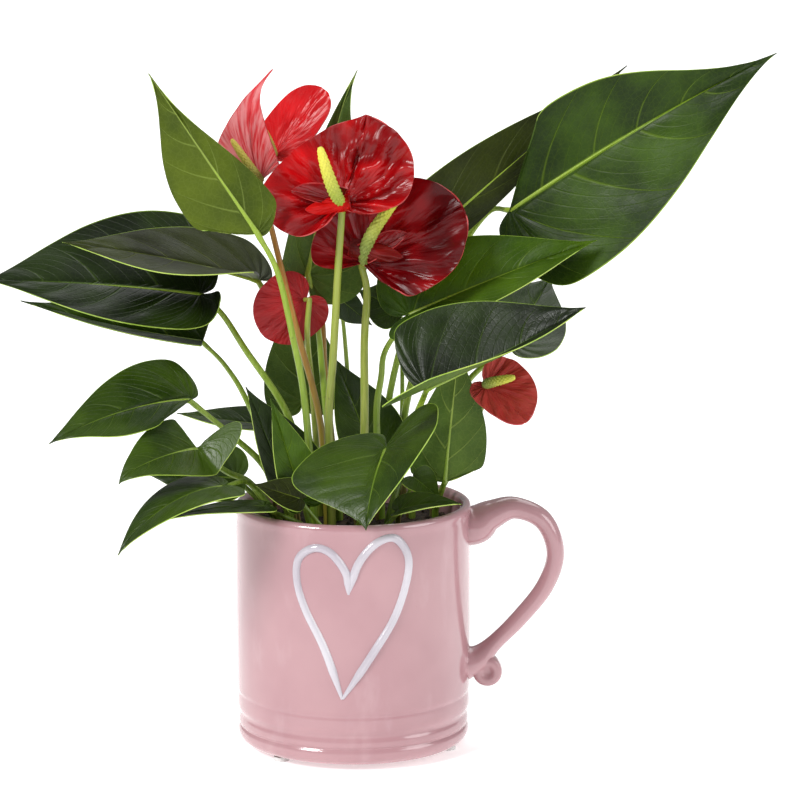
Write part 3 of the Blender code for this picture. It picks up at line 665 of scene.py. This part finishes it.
LEAVES = {
    "leaf_high_right": Leaf(
        root=(18, 13), stem=((24, 20, 150), (42, 34, 200), (57, 36, 224)), top="bright",
        blade=Blade((67, 27, 227), (178, 5, 297), (-0.1, -1, 0.25), (34, 45), (0.0, 0.1), (30, 4),
                    (20, 12), sweep=(0.32, 0.06), slim=(0.45, 0.22), arch=3, sway=-2),
    ),
    "leaf_high_back_right": Leaf(
        root=(10, 22), stem=((16, 22, 150), (28, 23, 197)), top="olive",
        blade=Blade((34, 16, 219), (118, 60, 285), (0.1, -1, 0.35), (20, 10), (0.1, 0.06), (6, -20),
                    (10, 10), slim=(0.35, 0.3), arch=2),
    ),
    "leaf_middle_right": Leaf(
        root=(12, 3), stem=((10, 3, 141), (12, 3, 159), (14, 3, 171)), top="mid",
        blade=Blade((24, 4, 186), (103, 2, 218), (-0.25, -0.9, 0.45), (26, 22), (0.12, 0.12), (8, 34),
                    (14, 20), arch=3),
    ),
    "leaf_front_right": Leaf(
        root=(15, -18), stem=((25, -15, 140), (30, -24, 156)), top="deep",
        blade=Blade((31, -42, 163), (97, -36, 196), (-0.3, -0.7, 0.7), (33, 26), (0.08, 0.28), (6, 50),
                    (16, 20), slim=(0.05, 0.2), arch=-2),
    ),
    "leaf_back_right": Leaf(
        root=(25, 10), stem=((46, 18, 150),),
        blade=Blade((68, 22, 170), (86, 70, 191), (0.1, -0.7, 0.7), (24, 21), (0.2, 0.16)),
    ),
    "leaf_upright_right": Leaf(
        root=(35, 2), thick=1.5,
        blade=Blade((39, -6, 116), (45, -8, 176), (0, 1, 0.1), (17, 16), (0.02, 0.02), (6, 6),
                    sweep=(0.14, 0.04)),
    ),
    "leaf_front_centre": Leaf(
        root=(3, -24), stem=((8, -33, 122),),
        blade=Blade((14, -40, 137), (6, -66, 108), (-0.45, -0.8, 0.4), (26, 37), (0.54, 0.34), (8, 8),
                    (14, 10), sweep=(-0.2, 0.4), slim=(0.35, 0.25), arch=3),
    ),
    "leaf_young_upright": Leaf(
        root=(-18, -25), thick=1.3, top="mid", under="olive",
        blade=Blade((-21, -28, 113), (-34, -34, 157), (0.3, -1, 0.1), (10, 12), (0.1, 0.1), (20, 20)),
    ),
    "leaf_dark_upright": Leaf(
        root=(-26, -10), thick=1.4, top="deep",
        blade=Blade((-27, -10, 112), (-45, -12, 158), (0.4, -1, 0.1), (9, 20), (0.1, 0.1), (20, 12)),
    ),
    "leaf_small_rim": Leaf(
        root=(-12, -33), thick=1.1, top="olive", under="olive",
        blade=Blade((-22, -36, 115), (-41, -40, 122), (0.3, -0.9, 0.4), (7, 8)),
    ),
    "leaf_low_left": Leaf(
        root=(-22, -22), thick=1.3,
        blade=Blade((-37, -33, 111), (-79, -48, 108), (0, -0.1, 1), (10, 8), (0.1, 0.1), (6, 6),
                    (-8, -8), arch=2),
    ),
    "leaf_low_drooping": Leaf(
        root=(-31, -15), stem=((-43, -24, 119),), thick=1.5,
        blade=Blade((-54, -44, 122), (-96, -68, 98), (0, -0.12, 1), (17, 17), (0.1, 0.1), (4, 4),
                    (-6, -6), arch=7),
    ),
    "leaf_low_back_left": Leaf(
        root=(-34, -2), thick=1.5, blade=Blade((-50, -4, 117), (-89, 8, 116), (0, -0.9, 0.5), (13, 14)),
    ),
    "leaf_left_heart": Leaf(
        root=(-33, -9), stem=((-43, -16, 117), (-53, -24, 124)),
        blade=Blade((-65, -34, 136), (-98, -61, 128), (0.1, -0.55, 0.85), (16, 16), (0.5, 0.0),
                    (-16, 18), lift=(52, 0), sweep=(0, 0.1), slim=(0.2, 0.2), arch=3, open=1.5,
                    hook=(-5, 0)),
    ),
    "leaf_left": Leaf(
        root=(-28, 3), stem=((-38, -3, 122), (-51, -8, 136)),
        blade=Blade((-68, -15, 153), (-126, -40, 139), (0, -0.6, 0.8), (17, 24), (0.0, 0.1), (6, 0),
                    sweep=(0.4, 0), arch=6),
    ),
    "leaf_back_left": Leaf(
        root=(-24, 14), thick=1.4,
        blade=Blade((-39, 25, 134), (-77, 45, 135), (0, -0.4, 0.9), (10, 10)),
    ),
    "leaf_far_left": Leaf(
        root=(-18, 3), stem=((-27, 3, 141), (-46, 6, 171), (-56, 8, 186)), top="deep", under="olive",
        blade=Blade((-65, 8, 194), (-154, -10, 203), (0.05, -0.6, 0.8), (25, 42), (0.14, 0.1), (2, 4),
                    (6, 10), lift=(45, 0), sweep=(0.1, 0), slim=(0.1, 0.1), arch=2),
    ),
    "leaf_olive_left": Leaf(
        root=(-8, 18), stem=((-20, 22, 160),), top="olive", under="olive",
        blade=Blade((-40, 20, 198), (-120, -28, 222), (0, -0.5, 0.85), (30, 26), (0.0, 0.1), (42, 4),
                    (10, 10), sweep=(0.25, 0), open=1.2, arch=2),
    ),
    # This leaf's top takes the bright tone: painted light, a lighter copy of the leaf green that lifts
    # it out of the shade of the leaves above.
    "leaf_under_left": Leaf(
        root=(-26, 9), stem=((-44, 9, 145), (-54, 11, 162)), thick=1.4, top="bright", under="olive",
        blade=Blade((-64, 12, 173), (-142, 20, 189), (0.1, -0.5, 0.85), (9, 20), (0.0, 0.0), (20, 10),
                    arch=-2),
    ),
    "leaf_high_left": Leaf(
        root=(-16, -17), stem=((-20, -19, 153), (-25, -22, 182), (-31, -29, 210)),
        top="mid", under="olive",
        blade=Blade((-39, -34, 227), (-83, -40, 294), (0, 1, 0.1), (15, 24), (0.06, 0.02), (10, 10),
                    (14, 14), sweep=(0.1, 0.2), slim=(0.9, 0.25)),
    ),
    "leaf_high_centre": Leaf(
        root=(-6, 2), stem=((-11, 2, 142), (-13, 4, 162), (-15, 5, 182)),
        blade=Blade((-19, 5, 203), (-2, 34, 287), (0.1, 1, 0), (26, 13), (0.12, 0.02), (10, 10),
                    (14, 14), slim=(0.5, 0.35), hook=(0, -4)),
    ),
    "leaf_small_behind": Leaf(
        root=(1, 22), stem=((-3, 20, 165),), thick=1.2,
        blade=Blade((-5, 16, 190), (8, 22, 178), (0, -1, 0.5), (6, 8)),
    ),
    "leaf_behind_middle": Leaf(
        root=(20, 22), stem=((21, 24, 150),), thick=1.2,
        blade=Blade((20, 28, 184), (2, 40, 190), (0, -1, 0.3), (12, 12)),
    ),
    "leaf_back_centre": Leaf(
        root=(-14, 30), thick=1.4, blade=Blade((-22, 38, 142), (-24, 46, 190), (0, 1, 0.2), (18, 18)),
    ),
    "leaf_dark_centre": Leaf(
        root=(8, 11), thick=1.4, blade=Blade((8, 13, 125), (-8, 18, 165), (0.1, -1, 0.2), (13, 18)),
    ),
    "leaf_right_rim": Leaf(
        root=(13, -32), thick=1.1,
        blade=Blade((20, -31, 109), (46, -34, 112), (0, -0.4, 1), (8, 8), arch=2),
    ),
    "leaf_small_right": Leaf(
        root=(19, -14), thick=1.1, blade=Blade((26, -18, 120), (37, -27, 113), (0, -0.6, 0.8), (8, 8)),
    ),
}


@dataclass
class Flower:
    """A spathe on its stem. The spadix starts at the spathe's base: middle control point, and tip.

    Looks are the finishes of spathe, spadix and stem. Ruffle is how deep the pleats are.
    """

    root: tuple
    stem: tuple
    spathe: Blade
    spadix: tuple
    looks: tuple
    ruffle: float
    thick: float = 1.9
    spadix_radius: float = 2.7


FLOWERS = {
    "flower_large": Flower(
        root=(-9, -13), stem=((-10, -13, 144), (-8, -15, 172), (-6, -15, 207)),
        looks=("scarlet", "yellow", "green"), ruffle=1.6,
        spathe=Blade((-4, -21, 237), (6, -14, 273), (-0.1, -1, 0.25), (34, 27), (0.48, 0.14), (2, 6),
                     (8, 14), (20, 30), (-0.05, 0.24), (0.42, 0), wave=(2.2, 3.0, 0.2),
                     outline=ROUND_OUTLINE),
        spadix=((-8, -33, 243), (-13, -35, 263)),
    ),
    "flower_dark": Flower(
        root=(4, -12), stem=((5, -10, 143), (5, -6, 176), (6, 0, 196)),
        looks=("crimson", "green", "green"), ruffle=1.2,
        spathe=Blade((5, -6, 210), (46, -8, 234), (-0.1, -1, 0.25), (26, 24), (0.45, 0.06), (2, 6),
                     (4, 14), (20, 20), (0.12, 0.26), (0, 0), wave=(0.8, 2.0, 0.5),
                     outline=ROUND_OUTLINE),
        spadix=((4, -17, 222), (20, -15, 239)),
    ),
    "flower_upright": Flower(
        root=(-11, -5), stem=((-14, -6, 143), (-24, -13, 185), (-33, -4, 220)),
        looks=("blush", "mustard", "rust"), ruffle=0.4,
        spathe=Blade((-38, -7, 245), (-38, -4, 291), (0.3, -1, 0.1), (20, 11), (0.0, 0.0), (10, 34),
                     (10, 20), (20, 20), (0.2, 0.1), (1.1, 0.5), sway=-5, hook=(0, 5),
                     outline=SPATHE_OUTLINE),
        spadix=((-42, -18, 251), (-50, -19, 264)), spadix_radius=1.8, thick=1.5,
    ),
    "flower_behind": Flower(
        root=(-6, 8), stem=((-12, 14, 158), (-14, 21, 185), (-24, 26, 228)),
        looks=("rose", "mustard", "rust"), ruffle=0.3,
        spathe=Blade((-33, 18, 252), (-12, 22, 279), (-0.3, -1, 0.3), (12, 10), (0.2, 0.1), (6, 6),
                     (20, 20), (20, 20), (0.1, 0.2), (-0.1, -0.1), outline=ROUND_OUTLINE),
        spadix=((-34, 10, 256), (-38, 8, 266)), spadix_radius=1.8, thick=1.5,
    ),
    "flower_low_back": Flower(
        root=(-14, 12), stem=((-17, 5, 150), (-19, -9, 178)),
        looks=("scarlet", "mustard", "green"), ruffle=0.3,
        spathe=Blade((-20, -5, 194), (-38, -4, 179), (0, 1, 0.2), (16, 15), (0.3, 0.3), (4, 4), (10, 10),
                     (20, 20), (0.1, 0.1), (0, 0), outline=ROUND_OUTLINE),
        spadix=((-22, 4, 192), (-31, 6, 184)), spadix_radius=1.8, thick=1.5,
    ),
    "flower_small_right": Flower(
        root=(34, 14), stem=((46, 10, 125), (56, 0, 150)),
        looks=("faded", "green", "green"), ruffle=0.3,
        spathe=Blade((56, -20, 160), (73, -32, 147), (0.1, -0.9, 0.5), (16, 10), (0.3, 0.2), (12, 12),
                     (20, 20), (20, 20), (0.1, 0.1), (0, 0), outline=ROUND_OUTLINE),
        spadix=((56, -30, 163), (68, -33, 166)), spadix_radius=2.2, thick=1.3,
    ),
}


# The two large spathes' lobes curl into a scoop and a lip beside the spadix. The scoops' insides take a
# darker copy of the red, a painted shade.
SPATHE_FOLDS = {
    "flower_large": (
        ("fold", Blade((-1.0, -25.0, 238.6), (-19, -27.5, 235.6), (0, -1, 0.15), (5.6, 4.4), (0, 0),
                       (-20, -20), (-60, -50), outline=ROUND_OUTLINE)),
        ("painted_shade_hollow", Blade((-4, -22.6, 238), (-25, -26, 243), (0.2, -1, 0.2), (3, 9), (0, 0), (20, 10),
                         (20, 75), outline=ROUND_OUTLINE)),
    ),
    "flower_dark": (
        ("dark_fold", Blade((-1, -11.5, 217.5), (21, -14.0, 213.5), (0, -1, 0.15), (5.4, 6.2), (0, 0),
                            (-20, -20), (-50, -60), outline=ROUND_OUTLINE)),
        ("painted_shade_hollow", Blade((6, -8.2, 213), (23, -11, 223), (-0.3, -1, 0.2), (8, 4), (0, 0), (10, 20),
                         (75, 20), outline=ROUND_OUTLINE)),
    ),
}


def stem_line(root, middle, end, radius, taper, steps=8):
    """A stem's points and radii: straight up in its hole, then a smooth curve to its end."""
    x, y = root[0] * MM, root[1] * MM
    foot = Vector((x, y, SOIL_TOP - STEM_DEPTH))
    route = [Vector((x, y, SOIL_TOP + STEM_STRAIGHT))] + [mm(*point) for point in middle] + [end]
    points = [foot] + spline(route, steps * (len(route) - 1))
    radii = [radius * (1 - taper * step / (len(points) - 1)) for step in range(len(points))]
    return points, radii


def leaf_piece(name, leaf, seed):
    """A leaf on its petiole, which swells a little just under the blade."""
    size = leaf.blade.length()
    relief = quilting(LEAF_VEINS, min(0.5, 6 * size), seed)
    fineness = LONG_LEAF_GRID if size > LONG_LEAF else LEAF_GRID
    finishes = (TOPS[leaf.top], UNDERS[leaf.under], MARGIN)
    blade = blade_piece(leaf.blade, fineness, relief, LEAF_THICKNESS, finishes)
    base, _, up, _ = leaf.blade.midrib(0.0)
    radius = leaf.thick * MM
    sink = PETIOLE_SINK * radius
    points, radii = stem_line(leaf.root, leaf.stem, base - up * sink, radius, PETIOLE_TAPER)
    for step, gain in ((-1, 1.22), (-2, 1.25), (-3, 1.12)):
        radii[step] *= gain
    for along in (0.05, 0.12, 0.22, 0.36, 0.52):
        spine, _, above, _ = leaf.blade.midrib(along)
        fade = (1 - along / 0.55) * 0.62 * radius
        points.append(spine - above * (LEAF_THICKNESS * 0.5 + 0.35 * fade))
        radii.append(max(fade, 0.0001))
    petiole = tube_piece(points, radii, STEM_SIDES, PETIOLE)
    piece = finish_piece(joined([blade, petiole]), name + "_grown")
    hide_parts(name)


def spadix_piece(name, flower, finish):
    """A spadix: a tapering spike closely set with small round florets in slanting rows."""
    base, _, up, _ = flower.spathe.midrib(0.0)
    a = base + up * (0.5 * SOLID_BLADE + GAP)
    b, c = [mm(*point) for point in flower.spadix]
    side = (b - a).cross(c - a).normalized()
    piece = grid(SPADIX_AROUND, SPADIX_ALONG)
    for vert in piece.data.vertices:
        height = (vert.co.y + 1) / 2
        turn = math.pi * vert.co.x
        place = a * (1 - height) ** 2 + b * 2 * height * (1 - height) + c * height**2
        ahead = ((b - a) * (1 - height) + (c - b) * height).normalized()
        out = ahead.cross(side).normalized()
        swell = math.sin(math.pi * (0.06 + 0.94 * height)) ** 0.25 if 0 < height < 1 else 0.0
        row = height * FLORETS_ALONG
        spoke = turn / math.tau * FLORETS_AROUND
        bump = abs(math.cos(math.pi * (spoke + row / 2)) * math.cos(math.pi * (spoke - row / 2)))
        reach = flower.spadix_radius * MM * swell * (1 - 0.12 * height)
        reach *= 1 - FLORET_HEIGHT / 2 + FLORET_HEIGHT * bump**0.7
        vert.co = place + (side * math.cos(turn) + out * math.sin(turn)) * reach
    clean_mesh()
    piece.data.materials.append(SPADICES[finish])
    finish_piece(piece, name + "_spadix_grown")
    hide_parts(name + "_spadix")


def flower_pieces(name, flower, seed):
    """A flower: its spathe with any inner folds, its spadix, and its stem with a narrower neck."""
    spathe_look, spadix_look, stem_look = flower.looks
    blades = [(spathe_look, flower.spathe, SPATHE_GRID, flower.ruffle)]
    for look, form in SPATHE_FOLDS.get(name, ()):
        blades.append((look, form, FOLD_GRID, FOLD_RUFFLE))
    parts = []
    for look, form, fineness, ruffle in blades:
        finishes = (SPATHES[look], SPATHE_BACK, SPATHE_EDGE)
        relief = ruffles(form, ruffle, seed)
        parts.append(blade_piece(form, fineness, relief, SPATHE_THICKNESS, finishes, True))
    spathe = joined(parts)
    finish_piece(spathe, name + "_spathe_grown")
    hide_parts(name + "_spathe")
    spadix_piece(name, flower, spadix_look)
    base, ahead, up, _ = flower.spathe.midrib(0.0)
    neck = base - up * NECK - ahead * 0.5 * NECK
    points, radii = stem_line(flower.root, flower.stem, neck, flower.thick * MM, PEDUNCLE_TAPER, 12)
    points.append(base - up * (0.5 * SOLID_BLADE))
    radii.append(radii[-1] * 0.85)
    stem = tube_piece(points, radii, STEM_SIDES + 4, PEDUNCLES[stem_look])
    finish_piece(stem, name + "_stem_grown")
    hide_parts(name + "_stem")


# Mug

# From the middle of the inner floor, up the wall and over the rim, as radius and height
INNER_RADIUS = MUG_RADIUS - MUG_WALL
INNER_FLOOR = PAD_HEIGHT + MUG_FLOOR
MUG_INSIDE = (
    (0.0, INNER_FLOOR), (INNER_RADIUS - 0.0060, INNER_FLOOR),
    (INNER_RADIUS - 0.0015, INNER_FLOOR + 0.0015), (INNER_RADIUS, INNER_FLOOR + 0.0060),
    (INNER_RADIUS, 0.0500), (INNER_RADIUS, MUG_TOP - 0.0070), (INNER_RADIUS, MUG_TOP - 0.0030),
    (INNER_RADIUS + 0.0006, MUG_TOP - 0.0009),
)
# Down the outside, past the neck ring and the two bands, to the foot, as inset and height
MUG_OUTSIDE = (
    (0.0021, MUG_TOP), (0.0003, MUG_TOP - 0.0008), (-0.0003, MUG_TOP - 0.0026), (0.0, MUG_TOP - 0.0046),
    (0.0002, MUG_TOP - 0.0062), (0.0, 0.0960), (0.0, 0.0600), (0.0005, 0.0275), (0.0006, 0.0250),
    (0.0012, 0.0239), (0.0008, 0.0228), (0.0006, 0.0195), (0.0008, 0.0172), (0.0019, 0.0155),
    (0.0019, 0.0143), (0.0013, 0.0131), (0.0012, 0.0110), (0.0014, 0.0104), (0.0020, 0.0097),
    (0.0013, 0.0090), (0.0009, 0.0078), (0.0010, 0.0062), (0.0019, 0.0041),
    (0.0042, PAD_HEIGHT + 0.0003), (0.0065, PAD_HEIGHT), (MUG_RADIUS, PAD_HEIGHT),
)
MUG_PROFILE = MUG_INSIDE + tuple((MUG_RADIUS - inset, height) for inset, height in MUG_OUTSIDE)
MUG_AROUND = 64

# The handle's middle line, as x, z and radius: a flared root, a loop and a flared lower end
HANDLE_LINE = (
    (0.0470, 0.0950, 0.0086), (0.0530, 0.0962, 0.0084), (0.0590, 0.1000, 0.0064),
    (0.0690, 0.1030, 0.0047), (0.0810, 0.0975, 0.0042), (0.0863, 0.0837, 0.0039),
    (0.0820, 0.0690, 0.0038), (0.0711, 0.0548, 0.0036), (0.0600, 0.0435, 0.0036),
    (0.0535, 0.0372, 0.0058), (0.0478, 0.0352, 0.0076),
)
HANDLE_FLATTEN = 1.3
SCROLL_RADIUS = 0.0064
SCROLL_WIDTH = 0.0110
SCROLL_CENTRE = Vector((0.0574, 0.0, 0.0320))
DIMPLE_RADIUS = 0.0026

HEART_LINE_RADIUS = 0.00185
HEART_LINE_SINK = 0.0006
# The raised heart's two lines on the mug's front, as distance round the mug and height
HEART_LEFT = (
    (-1.4, 77.0), (-2.4, 86.0), (-8.8, 94.5), (-16.3, 96.3), (-23.1, 91.3), (-23.9, 81.5), (-20.0, 69.6),
    (-11.8, 53.6), (-4.2, 32.0),
)
HEART_RIGHT = (
    (-1.6, 77.2), (2.8, 90.3), (10.3, 98.7), (18.4, 100.4), (24.2, 92.8), (23.9, 82.5), (18.4, 66.9),
    (9.1, 52.0), (-4.0, 32.2),
)


def turned_piece(profile, around, levels):
    """A turned piece: a grid wrapped round the Z axis, welded at its seam and smoothed."""
    piece = grid(around, len(profile) - 1)
    last = len(profile) - 1
    for vert in piece.data.vertices:
        radius, height = profile[round((vert.co.y + 1) / 2 * last)]
        turn = math.pi * vert.co.x
        vert.co = (radius * math.cos(turn), radius * math.sin(turn), height)
    clean_mesh()
    soften = piece.modifiers.new("soften", "SUBSURF")
    soften.levels = levels
    soften.render_levels = levels
    bpy.ops.object.modifier_apply(modifier=soften.name)
    bpy.ops.object.mode_set(mode="EDIT")
    bpy.ops.mesh.select_all(action="SELECT")
    bpy.ops.mesh.normals_make_consistent(inside=False)
    bpy.ops.object.mode_set(mode="OBJECT")
    return piece


def on_wall(around, height):
    """A point just under the mug's outer wall: distance round it and height, in millimetres."""
    radius = MUG_RADIUS - HEART_LINE_SINK
    angle = around * MM / MUG_RADIUS
    return Vector((radius * math.sin(angle), -radius * math.cos(angle), height * MM))


def mug_pieces():
    """The mug with its handle and rolled scroll in one piece, and the white heart on its front."""
    body = turned_piece(MUG_PROFILE, MUG_AROUND, 2)
    body.data.materials.append(PINK)
    places = spline([Vector((x, 0.0, z)) for x, z, _ in HANDLE_LINE], HANDLE_STEPS)
    thick = spline([Vector((radius, 0.0)) for _, _, radius in HANDLE_LINE], HANDLE_STEPS)
    radii = [value.x for value in thick]
    handle = tube_piece(places, radii, 28, PINK, HANDLE_FLATTEN)
    half = SCROLL_WIDTH / 2
    dimple = (
        (0.0, half - 0.0014), (DIMPLE_RADIUS * 0.6, half - 0.0012), (DIMPLE_RADIUS, half - 0.0003),
        (DIMPLE_RADIUS + 0.0008, half), (SCROLL_RADIUS - 0.0015, half),
        (SCROLL_RADIUS - 0.0003, half - 0.0005), (SCROLL_RADIUS, half - 0.0018),
    )
    bar = dimple + tuple((radius, -height) for radius, height in reversed(dimple))
    scroll = turned_piece(bar, 32, 1)
    for vert in scroll.data.vertices:
        vert.co = SCROLL_CENTRE + Vector((vert.co.x, vert.co.z, -vert.co.y))
    scroll.data.materials.append(PINK)
    for extra in (handle, scroll):
        deselect()
        body.select_set(True)
        bpy.context.view_layer.objects.active = body
        join = body.modifiers.new("join", "BOOLEAN")
        join.operation = "UNION"
        join.solver = "EXACT"
        join.object = extra
        bpy.ops.object.modifier_apply(modifier=join.name)
        bpy.data.objects.remove(extra, do_unlink=True)
    body.select_set(True)
    finish_piece(body, "mug_glazed")
    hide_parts("mug")

    lines = []
    for corners in (HEART_LEFT, HEART_RIGHT):
        points = spline([on_wall(*corner) for corner in corners], HEART_STEPS)
        radii = []
        for step in range(HEART_STEPS + 1):
            end = min(step, HEART_STEPS - step)
            radii.append(HEART_LINE_RADIUS * min(1.0, 0.35 + 0.11 * end))
        lines.append(tube_piece(points, radii, 14, WHITE))
    heart = finish_piece(joined(lines), "heart_raised")


def soil_pieces(draw):
    """Soil with an uneven crumbly top, and loose crumbs on it."""
    inner = INNER_RADIUS - GAP
    profile = [(inner * ring / SOIL_RINGS, SOIL_TOP) for ring in range(SOIL_RINGS + 1)]
    profile += [(inner, SOIL_EDGE - 0.004), (inner, 0.05)]
    profile += [(inner - 0.002, INNER_FLOOR + 0.002), (0.0, INNER_FLOOR + 0.001)]
    soil = turned_piece(profile, 72, 1)
    for vert in soil.data.vertices:
        if vert.co.z > SOIL_EDGE - 0.003:
            out = (vert.co.x**2 + vert.co.y**2) ** 0.5 / inner
            rough = noise.noise(vert.co * 260) + 0.6 * noise.noise(vert.co * 700)
            vert.co.z += 0.0011 * rough - 0.0016 * out**4
    soil.data.materials.append(EARTH)
    finish_piece(soil, "soil_crumbly", 180)
    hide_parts("soil")
    crumbs = []
    for _ in range(CRUMBS):
        angle = draw.uniform(0, math.tau)
        reach = inner * 0.95 * math.sqrt(draw.random())
        size = draw.uniform(0.0005, 0.0015)
        bpy.ops.mesh.primitive_ico_sphere_add(subdivisions=1, radius=size)
        crumb = bpy.context.object
        centre = Vector((reach * math.cos(angle), reach * math.sin(angle), SOIL_TOP - 0.0002))
        for vert in crumb.data.vertices:
            vert.co = centre + vert.co * draw.uniform(0.7, 1.2)
        crumb.data.materials.append(EARTH)
        crumbs.append(crumb)
    finish_piece(joined(crumbs), "soil_crumbs", 20)


def sheath_piece(draw):
    """Short papery sheaths that stand round the feet of the stems."""
    roots = [leaf.root for leaf in LEAVES.values()][::2] + [flower.root for flower in FLOWERS.values()]
    sheaths = []
    for x, y in roots:
        turn = draw.uniform(0, math.tau)
        out = Vector((math.cos(turn), math.sin(turn)))
        height = draw.uniform(14, 26)
        foot = (x + 2.2 * out.x, y + 2.2 * out.y, 96)
        tip = (x + 3.6 * out.x, y + 3.6 * out.y, 96 + height)
        form = Blade(foot, tip, (-out.x, -out.y, 0), (2.4, 2.4), (0, 0), (50, 50), (40, 40),
                     slim=(0.3, 0.3))
        finishes = (SHEATH, SHEATH, SHEATH)
        sheaths.append(blade_piece(form, (24, 4), quilting(3, 0.1, turn), 0.0003, finishes))
    finish_piece(joined(sheaths), "sheaths")


def pads():
    """The solids' own rubber pads keep their shape and take a matte white finish."""
    for number in (1, 2, 3):
        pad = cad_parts[f"pad_{number}"]
        pad.data.materials.clear()
        pad.data.materials.append(RUBBER)


def studio():
    """A pale floor, soft light from the front left and above, and the photograph's viewpoint."""
    bpy.ops.mesh.primitive_plane_add(size=16.0)
    floor = bpy.context.object
    floor.name = "floor"
    floor.data.materials.append(FLOOR)
    lights = (
        ("key", (-1.0, -0.9, 1.0), 20, 2.2),
        ("fill", (1.3, -0.45, 0.6), 35, 1.1),
        ("back", (0.3, 1.0, 1.4), 45, 0.8),
    )
    for name, place, spread, power in lights:
        bpy.ops.object.light_add(type="SUN", location=place)
        light = bpy.context.object
        light.name = name
        light.data.angle = math.radians(spread)
        light.data.energy = power
        light.rotation_euler = (-Vector(place)).to_track_quat("-Z", "Y").to_euler()
    world = bpy.data.worlds.new("studio")
    world.use_nodes = True
    world.node_tree.nodes["Background"].inputs["Color"].default_value = (1.0, 1.0, 1.0, 1.0)
    world.node_tree.nodes["Background"].inputs["Strength"].default_value = 0.30
    bpy.context.scene.world = world
    bpy.context.scene.view_settings.view_transform = "Standard"
    tilt = math.radians(CAMERA_TILT)
    bpy.ops.object.camera_add(location=CAMERA_PLACE, rotation=(tilt, 0.0, 0.0))
    camera = bpy.context.object
    camera.data.lens = CAMERA_LENS
    camera.data.sensor_width = 36.0
    bpy.context.scene.camera = camera


draw = random.Random(7)
mug_pieces()
pads()
soil_pieces(draw)
for seed, (name, leaf) in enumerate(LEAVES.items()):
    leaf_piece(name, leaf, seed * 3.7)
for seed, (name, flower) in enumerate(FLOWERS.items()):
    flower_pieces(name, flower, seed * 5.3)
sheath_piece(draw)
studio()
